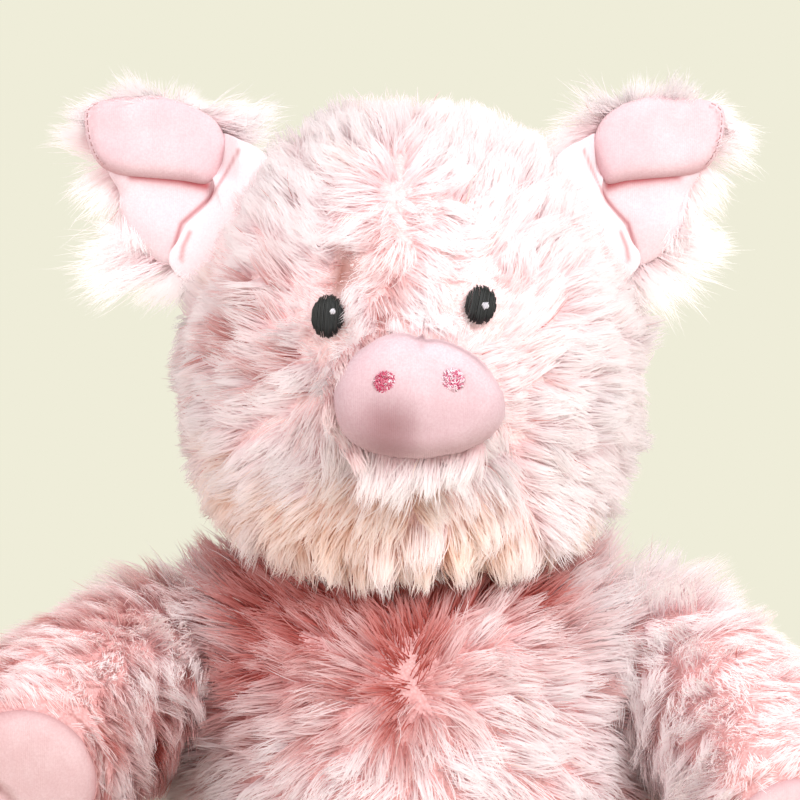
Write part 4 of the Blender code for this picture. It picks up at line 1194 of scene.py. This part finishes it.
# Outlines of the right ear seen from the front: how far out from the middle of the head, and the height, in metres.
EAR_LOBE = (
    (.1026, .3256), (.0952, .3284), (.0817, .3295), (.0785, .3290), (.0705, .3265), (.0628, .3222),
    (.0594, .3170), (.0590, .3121), (.0608, .3057), (.0644, .3013), (.0729, .3022), (.0896, .3038),
    (.0952, .3054), (.0986, .3076), (.1014, .3120), (.1031, .3188))
EAR_LOWER = (
    (.0952, .3080), (.0925, .2992), (.0922, .2941), (.0885, .2852), (.0822, .2785), (.0763, .2757),
    (.0725, .2770), (.0690, .2850), (.0605, .2925), (.0545, .3020), (.0590, .3130), (.0760, .3130))
EAR_ROOT = (
    (.0490, .3128), (.0535, .3150), (.0600, .3178), (.0655, .3168), (.0645, .3080), (.0622, .3018),
    (.0640, .2962), (.0715, .2895), (.0752, .2830), (.0765, .2762), (.0700, .2705), (.0590, .2700),
    (.0500, .2790), (.0455, .2930), (.0450, .3080))
EAR_BACK = (
    (.1000, .3238), (.0940, .3262), (.0817, .3272), (.0705, .3245), (.0620, .3200), (.0560, .3130),
    (.0560, .2950), (.0620, .2810), (.0700, .2765), (.0780, .2785), (.0860, .2860), (.0900, .2940),
    (.0925, .3040), (.0995, .3140))
LOBE_MIDDLE, LOWER_MIDDLE, ROOT_MIDDLE, BACK_MIDDLE = (.0800, .3180), (.0770, .2960), (.0590, .2920), (.0770, .3050)
# Folds in the velour, in the same plane, along which shade is painted.
LOBE_SHADOW = ((.0650, .3010), (.0729, .3028), (.0880, .3044))
LOWER_FOLD = ((.0570, .3060), (.0640, .2968), (.0727, .2890), (.0755, .2800))
ROOT_FOLD = ((.0545, .3120), (.0600, .3025), (.0640, .2962), (.0715, .2895), (.0752, .2830))
SECOND_FOLD = ((.0700, .2862), (.0722, .2815), (.0728, .2775))
EAR_SIDES, EAR_SPOTS = 96, 1500


def polyline_distance(points, line):
    """How far each point of a plane is from a line of points."""
    best = np.full(points.shape[:-1], 1.0)
    for a, b in zip(line[:-1], line[1:]):
        a, b = np.array(a), np.array(b)
        t = np.clip(((points - a) @ (b - a)) / ((b - a) @ (b - a)), 0, 1)
        best = np.minimum(best, np.linalg.norm(points - a - t[..., None] * (b - a), axis=-1))
    return best


def root_depth(q):
    """How far back the middle of the ear's root lies: it runs in to the head, and behind the lobe."""
    behind = step(.300, .307, q[..., 1]) * step(.054, .060, q[..., 0])
    return -.0046 - .0110 * (1 - step(.044, .070, q[..., 0])) + .0056 * behind


class PIG_OT_ears(bpy.types.Operator):
    """Builds the ears: a puffed velour lobe folded over a lower lobe, with a fringe of pile behind the edge"""

    bl_idname = "pig.ears"
    bl_label = "Ears"

    def execute(self, context):
        _, _, pile = sizes()
        rng = np.random.default_rng(pile.seed + 40)
        for side, hand, shift in (("right", -1, 0), ("left", 1, -.0045)):
            body = "ear_" + side

            def out(points):
                """The points on this ear's side of the head, with its lobe drawn in by the shift."""
                points = np.array(points, float)
                points[:, 0] = hand * (points[:, 0] + shift * step(.050, .075, points[:, 0]))
                return points

            def add_piece(name, points, faces, material, nodes=()):
                """A piece of this ear."""
                turned = faces if hand > 0 else [f[::-1] for f in faces]
                return new_mesh(name + "_" + side, out(points), turned, material, body, nodes)

            points, faces = pillow(
                closed_outline(EAR_LOBE, EAR_SIDES), LOBE_MIDDLE,
                lambda q, s: -.0042 - .0036 * dome(s, 3.6) - .0008 * np.sin((q[..., 0] - .06) * 90) * (1 - s)
                - .0026 * step(.320, .304, q[..., 1]) * (1 - s ** 8),
                lambda q, s: -.0042 + .0030 * dome(s, 2.5))
            made = add_piece("ear_lobe", points, faces, velour_of("ear"), nodes=("ear_lining_" + side,))
            # Painted shade along the lobe's lower edge.
            rim = polyline_distance(points[:, [0, 2]], EAR_LOBE[7:14])
            mark(made, "crease", np.clip(.40 * np.exp(-rim / .0012) * (points[:, 1] > -.009), 0, 1))

            points, faces = pillow(
                closed_outline(EAR_LOWER, EAR_SIDES), LOWER_MIDDLE,
                lambda q, s: -.0016 - .0046 * dome(s, 2.6) - .0010 * np.sin((q[..., 1] - .28) * 260) * (1 - s),
                lambda q, s: -.0016 + .0026 * dome(s, 2.5), rings=36)
            made = add_piece("ear_lower", points, faces, velour_of("inner"))
            # Painted shade under the lobe and along the fold.
            under, fold = (polyline_distance(points[:, [0, 2]], line) for line in (LOBE_SHADOW, LOWER_FOLD))
            mark(made, "crease", np.clip(.95 * ridge(under, 0, .0020) + .7 * ridge(fold, 0, .0008), 0, 1))

            points, faces = pillow(
                closed_outline(EAR_ROOT, EAR_SIDES), ROOT_MIDDLE,
                lambda q, s: root_depth(q) - .0024 * dome(s, 2.0),
                lambda q, s: root_depth(q) + .0034 * dome(s, 2.4), rings=40)
            made = add_piece("ear_root", points, faces, velour_of("root"))
            # Painted shade along the two folds.
            fold, second = (polyline_distance(points[:, [0, 2]], line) for line in (ROOT_FOLD, SECOND_FOLD))
            mark(made, "crease", np.clip(.65 * ridge(fold, 0, .0006) + .6 * ridge(second, 0, .0008), 0, 1))

            # Running stitches of the hem, seen along the outer edge of the lobe.
            number = 200
            seam, middle, paths = closed_outline(EAR_LOBE, number), np.array(LOBE_MIDDLE), []
            for i in range(0, number, 4):
                x, z = middle + (seam[i] - middle) * .955
                if x > .0965 and z < .3270:
                    dx, dz = unit(seam[(i + 1) % number] - seam[i]) * .0006
                    paths.append([(x - dx, -.0072, z - dz), (x, -.0082, z), (x + dx, -.0072, z + dz)])
            points, faces, each = tube_mesh(paths, np.full((len(paths), 3), .00022), 5)
            thread = rayon_thread("cotton_thread_" + side, "#B98A8C", "#D6B2B2", .7)
            made = add_piece("ear_hem_stitches", points, faces, thread)
            mark(made, "tone", np.repeat(rng.random(len(paths)), each))

            whole, middle = closed_outline(EAR_BACK, EAR_SIDES), np.array(BACK_MIDDLE)
            points, faces = pillow(
                whole, BACK_MIDDLE,
                lambda q, s: .0010 - .0020 * dome(s, 2.5),
                lambda q, s: .0010 + .0060 * dome(s, 2.5), rings=12)
            made = add_piece("ear_back_cover", points, faces, pale_backing(), ("ear_back_" + side,))

            # The pile of the ear's back, thicker at the edge and thinner at its outer end.
            spot = whole[rng.integers(0, EAR_SIDES, EAR_SPOTS)] + rng.normal(0, .0006, (EAR_SPOTS, 2))
            turn = np.arctan2(spot[:, 1] - middle[1], spot[:, 0] - middle[0])
            spot = spot[(np.abs(turn + .05) > .62) | (rng.random(EAR_SPOTS) < .40)]
            n = len(spot)
            size = np.sqrt(rng.uniform(.0, 1, n)) * .99
            rim_only = rng.random(n) < .36
            size = np.where(rim_only, rng.uniform(.90, 1.0, n), size)
            x, z = (middle + (spot - middle) * size[:, None]).T
            ray = unit(np.stack([spot[:, 0] - middle[0], np.zeros(n), spot[:, 1] - middle[1]], -1))
            places = np.stack([x, -.0016 + .0080 * dome(size, 2.5), z], -1)
            normals = unit(np.stack([ray[:, 0] * size ** 4, 1.0 - .85 * size ** 4, ray[:, 2] * size ** 4], -1))
            flow = ray * (.25 + .75 * size ** 2)[:, None] + (0, .05, 0)
            flow[:, 2] -= .15 + .6 * (1 - size) ** .5
            angle = np.arctan2(ray[:, 2], ray[:, 0])
            tip = step(-.9, -1.4, angle) * (angle > -2.2)
            flow[:, 2] *= 1 - .45 * tip
            flow[:, 0] += .95 * tip
            growth = .62 + .34 * (1 - step(.35, .8, np.abs(angle))) + .62 * tip
            growth += .35 * (angle > 2.0) * (angle < 2.9) + .16 * noise_field(places, .010, 50)
            places, flow, normals = out(places), flow * (hand, 1, 1), normals * (hand, 1, 1)
            tone = .66 + .06 * noise_field(places, .02, 51)
            grow_pile("ear_pile_" + side, (places, normals), body, "head_pile", long_pile(), rng, .0205,
                      pile.fibre * .68, tufts=8, flow=flow, growth=growth, tone=tone, rise=.4, wander=.30, loose=.09,
                      lit_from=unit(normals * .25 + (0, -.8, .5)), palest=.68)
        return {"FINISHED"}


# Stations of a limb from its root to its pad, in metres: how far out, forward and down, and the radius.
ARM_REACHES = (0, .028, .050, .058, .059)
ARM_FORWARDS = (0, .016, .056, .094, .103)
ARM_DROPS = (0, .002, .013, .0255, .0285)
ARM_RADII = (.0290, .0280, .0290, .0268, .0222)
LEG_REACHES = (0, .009, .0195, .0255, .0265)
LEG_FORWARDS = (0, .038, .077, .105, .114)
LEG_RADII = (.0270, .0290, .0310, .0310, .0242)


def pad_piece(name, middle, forward, radius, swell, material, body, node, crease_angle=None):
    """A round velour pad: a low stuffed dome with its edge turned in, and a crease across it if it has an angle."""
    across, up, forward = face_frame(forward)
    a = np.linspace(0, math.tau, 96, endpoint=False)
    points, faces = pillow(
        np.stack([np.cos(a), np.sin(a)], -1) * radius, (0, 0),
        lambda q, s: -swell * dome(s, 2.6), lambda q, s: .003 * dome(s, 4), rings=20)
    # Painted shade at the rim, where the edge turns in, and along the crease.
    crease = np.exp(-(np.maximum(radius - np.hypot(points[:, 0], points[:, 2]), 0) / .0012)) * .5
    if crease_angle is not None:
        d = np.array((math.cos(crease_angle), math.sin(crease_angle)))
        along = points[:, 0] * d[0] + points[:, 2] * d[1]
        off = points[:, 2] * d[0] - points[:, 0] * d[1] - .006 - 6 * along ** 2
        line = ridge(off, 0, .0011) * (1 - step(.012, .018, np.abs(along))) * (points[:, 1] < 0)
        points[:, 1] += .0018 * line
        crease = np.maximum(crease, .50 * line)
    placed = middle + points[:, :1] * across - points[:, 1:2] * forward + points[:, 2:] * up
    made = new_mesh(name, placed, faces, material, body, (node,))
    mark(made, "crease", np.clip(crease, 0, 1))


def limb_end(points, end, ahead, near_edge, far_edge):
    """How near each point is to a limb's pad: its distance, its share of the rim, and the way out across the pad."""
    near = np.linalg.norm(points - end, axis=1)
    rim = (1 - step(near_edge, far_edge, near))[:, None]
    away = points - end
    return near, rim, unit(away - ahead * (away @ ahead)[:, None])


ARM_SPOTS, LEG_SPOTS = 4700, 4300


class PIG_OT_arms(bpy.types.Operator):
    """Builds the arms: backing, long pile and the velour hand pads"""

    bl_idname = "pig.arms"
    bl_label = "Arms"

    def execute(self, context):
        _, body, pile = sizes()
        rng = np.random.default_rng(pile.seed + 60)
        # The left arm hangs lower and its pile stands up at the shoulder. The right pad is creased.
        # Painted light and shade: the left arm's front and pad are paler, the right one's front and the armpits
        # deeper.
        for side, hand, drop, tall, painted_front_light, gap_tone, painted_pit_shade, pad, crease in (
            ("right", -1, 0.0, .35, -.06, .16, .12, "pad", .9),
            ("left", 1, body.arm_drop, 1, .46, .08, .34, "painted_lit_pad", None),
        ):
            shoulder = np.array(body.shoulder) * (hand, 1, 1)
            y, z = -np.array(ARM_FORWARDS), -np.array(ARM_DROPS)
            stations = shoulder + np.stack([
                hand * np.array(ARM_REACHES), y * math.cos(drop) - z * math.sin(drop),
                y * math.sin(drop) + z * math.cos(drop)], -1)
            rings, path, along = limb_rings(stations, ARM_RADII, 44, 72)
            shell = Shell(rings, path[0] - along[0] * .012, path[-1], along)
            name = "arm_" + side
            cover = new_mesh("arm_cover_" + side, shell.points, shell.faces(), rose_backing(), name,
                             ("arm_sleeve_" + side, "arm_stuffing_" + side))
            end, ahead = path[-1], along[-1]
            pad_piece("hand_pad_" + side + "_velour", end + ahead * .0012, ahead, body.hand_pad, .0062,
                      velour_of(pad), name, "hand_pad_" + side, crease)

            def want(points, normals):
                """Where pile grows: not under the pad, and not where the arm is buried in the body."""
                facing = (normals @ ahead > .75) & (np.linalg.norm(points - end, axis=1) < body.hand_pad * 1.02)
                buried = (np.abs(points[:, 0]) < .052) & (points[:, 2] < .166)
                return np.where(facing | buried, 0, 1)

            points, normals, axis = shell.scatter(ARM_SPOTS, rng, want)
            near, rim, away = limb_end(points, end, ahead, .026, .046)
            flow = unit(axis * .30 + np.array((hand, 0, 0)) * .8 + np.array((0, 0, -1)))
            flow = flow * (1 - rim) + rim * (away * .45 - ahead * .25 + flow * .5)
            upper, far = step(.1, .8, normals[:, 2]), step(.082, .104, np.abs(points[:, 0]))
            standing = tall * upper * (1 - far)
            pit = step(.35, .80, -normals[:, 0] * hand) * step(.094, .078, np.abs(points[:, 0]))
            pit *= 1 - step(.135, .158, points[:, 2])
            growth = .42 + .58 * step(.021, .042, near)
            growth *= (1 - .36 * upper * far) * (1 + .20 * standing) * (1 - .08 * pit)
            # Painted light: paler where the pile faces up.
            tone = .40 + .08 * noise_field(points, .03, 61) + .08 * step(.0, .8, normals[:, 2])
            tone += painted_front_light * step(.35, -.25, normals[:, 1])
            # Deeper between the locks, twice as deep on the right arm, where the extra is painted shade.
            tone -= gap_tone * step(.2, .8, noise_field(points, .012, 67))
            tone -= painted_pit_shade * pit
            grow_pile("arm_pile_" + side, (points, normals), name, "body_pile", long_pile(), rng, pile.body_length,
                      pile.fibre, tufts=8, flow=flow, growth=growth, tone=tone,
                      rise=.62 + .45 * standing - .36 * upper * far, lay=.16 + .60 * standing, per_lock=11)
        return {"FINISHED"}


class PIG_OT_legs(bpy.types.Operator):
    """Builds the legs: backing, long pile pressed flat underneath, and the velour soles"""

    bl_idname = "pig.legs"
    bl_label = "Legs"

    def execute(self, context):
        _, body, pile = sizes()
        rng = np.random.default_rng(pile.seed + 80)
        radii = np.array(LEG_RADII)
        for side, hand in (("right", -1), ("left", 1)):
            hip = np.array(body.hip) * (hand, 1, 1)
            high = radii + .0015 + np.array((0, 0, 0, .0010, .0095))
            stations = np.stack([hip[0] + hand * np.array(LEG_REACHES), hip[1] - np.array(LEG_FORWARDS), high], -1)
            rings, path, along = limb_rings(stations, radii, 44, 72)
            shell = Shell(rings, path[0] - along[0] * .014, path[-1], along)
            shell.points[:, 2] = np.maximum(shell.points[:, 2], .0012)
            shell.measure()
            name = "leg_" + side
            cover = new_mesh("leg_cover_" + side, shell.points, shell.faces(), rose_backing(), name,
                             ("leg_sleeve_" + side, "leg_stuffing_" + side))
            end, ahead = path[-1], along[-1]
            pad_piece("foot_pad_" + side + "_velour", end + ahead * .0005, ahead, body.foot_pad, .0058,
                      velour_of("pad"), name, "foot_pad_" + side)

            def want(points, normals):
                """Where pile grows: not under the sole, and not where the leg lies on the floor."""
                facing = (normals @ ahead > .75) & (np.linalg.norm(points - end, axis=1) < body.foot_pad * 1.02)
                under = (normals[:, 2] < -.75) & (points[:, 2] < .004)
                return np.where(facing | under, 0, 1)

            points, normals, axis = shell.scatter(LEG_SPOTS, rng, want)
            near, rim, away = limb_end(points, end, ahead, .028, .046)
            flow = (axis * .9 + np.array((hand * .2, 0, -.55))) * (1 - rim) + rim * (away - ahead * .4)
            growth = .50 + .50 * step(.020, .040, near)
            # Painted light: paler where the pile faces up.
            tone = .42 + .10 * noise_field(points, .03, 81) + .08 * step(0, .8, normals[:, 2])
            grow_pile("leg_pile_" + side, (points, normals), name, "body_pile", long_pile(), rng, pile.body_length,
                      pile.fibre, tufts=7, flow=flow, growth=growth, tone=tone)
        return {"FINISHED"}


TAIL_ROOT = (0, .07625, .056)
TAIL_CURL, TAIL_TURNS = .0085, 1.1
# The neck seam: its middle's depth and height, its half width and half depth, and the halves of its section.
NECK_MIDDLE, NECK_HALVES, NECK_SECTION = (.008, .18475), (.0357, .0363), (.0016, .0046)
SEAT_HALVES = (.0448, .038)


class PIG_OT_trim(bpy.types.Operator):
    """Builds the curled tail, the neck seam and the seat panel"""

    bl_idname = "pig.trim"
    bl_label = "Tail, neck seam and seat"

    def execute(self, context):
        at = np.linspace(0, 1, 40)
        angle = math.tau * TAIL_TURNS * at
        root, closing = np.array(TAIL_ROOT), 1 - .38 * at
        path = root + np.stack([
            TAIL_CURL * closing * np.sin(angle),
            np.where(at > 0, .00375, -.004) + .015 * (at + np.sin(math.pi * at) / 2),
            TAIL_CURL * (1 - closing * np.cos(angle))], -1)
        path[0] = root - (0, .010, 0)
        radii = .0048 * (1 - .45 * at)
        radii[:3] = (.0068, .0060, .0052)
        radii[-3:] *= (.95, .8, .45)
        points, faces, _ = tube_mesh([path], [radii], 20)
        tail = new_mesh("tail_velour", points, faces, velour_of("tail"), "tail", ("tail",))

        round_, across = 96, 12
        a = np.linspace(0, math.tau, round_, endpoint=False)
        b = np.linspace(0, math.tau, across, endpoint=False)
        section = np.stack([np.cos(b), np.sin(b)], -1) * NECK_SECTION
        ripple = .0004 * np.sin(a * 40)
        points = [
            ((NECK_HALVES[0] + r + w) * math.cos(t), NECK_MIDDLE[0] + (NECK_HALVES[1] + r + w) * math.sin(t),
             NECK_MIDDLE[1] + h)
            for t, w in zip(a, ripple) for r, h in section]
        faces = []
        for i in range(round_):
            here, there = across * i, across * ((i + 1) % round_)
            faces += [(there + j, there + (j + 1) % across, here + (j + 1) % across, here + j) for j in range(across)]
        new_mesh("neck_seam", points, faces, rose_backing(), "neck", ("neck_seam_band",))

        t = np.linspace(0, math.tau, 24, endpoint=False)
        corners = np.stack([np.cos(t), np.sin(t)], -1)
        outline = closed_outline(np.sign(corners) * np.abs(corners) ** .8 * SEAT_HALVES, 96)
        points, faces = pillow(
            outline, (0, 0), lambda q, s: 0 * s, lambda q, s: .0008 + .0040 * dome(s, 4), rings=8)
        seat = new_mesh(
            "seat_panel_pile", points[:, [0, 2, 1]], faces, rose_backing(), "torso", ("seat_panel",))
        return {"FINISHED"}


GROUPS = (PIG_PG_head, PIG_PG_body, PIG_PG_pile, PIG_PG_colours)
BUILDERS = (
    PIG_OT_stage, PIG_OT_head, PIG_OT_body, PIG_OT_snout, PIG_OT_embroidery, PIG_OT_ears, PIG_OT_arms, PIG_OT_legs,
    PIG_OT_trim)


class PIG_PT_panel(bpy.types.Panel):
    """Lists the steps that build the plush pig"""

    bl_idname = "PIG_PT_panel"
    bl_label = "Plush pig"
    bl_space_type = "VIEW_3D"
    bl_region_type = "UI"
    bl_category = "Plush pig"

    def draw(self, context):
        for builder in BUILDERS:
            self.layout.operator(builder.bl_idname)


def register():
    """Adds the classes and the groups of sizes and colours."""
    for made in (*GROUPS, *BUILDERS, PIG_PT_panel):
        bpy.utils.register_class(made)
    bpy.types.Scene.pig_head = bpy.props.PointerProperty(type=PIG_PG_head)
    bpy.types.Scene.pig_body = bpy.props.PointerProperty(type=PIG_PG_body)
    bpy.types.Scene.pig_pile = bpy.props.PointerProperty(type=PIG_PG_pile)
    bpy.types.Scene.pig_colours = bpy.props.PointerProperty(type=PIG_PG_colours)


def unregister():
    """Takes them away again."""
    del bpy.types.Scene.pig_colours
    del bpy.types.Scene.pig_pile
    del bpy.types.Scene.pig_body
    del bpy.types.Scene.pig_head
    for made in reversed((*GROUPS, *BUILDERS, PIG_PT_panel)):
        bpy.utils.unregister_class(made)


def main():
    """Builds the whole toy."""
    register()
    for builder in BUILDERS:
        group, name = builder.bl_idname.split(".")
        getattr(getattr(bpy.ops, group), name)()


if __name__ == "__main__":
    main()
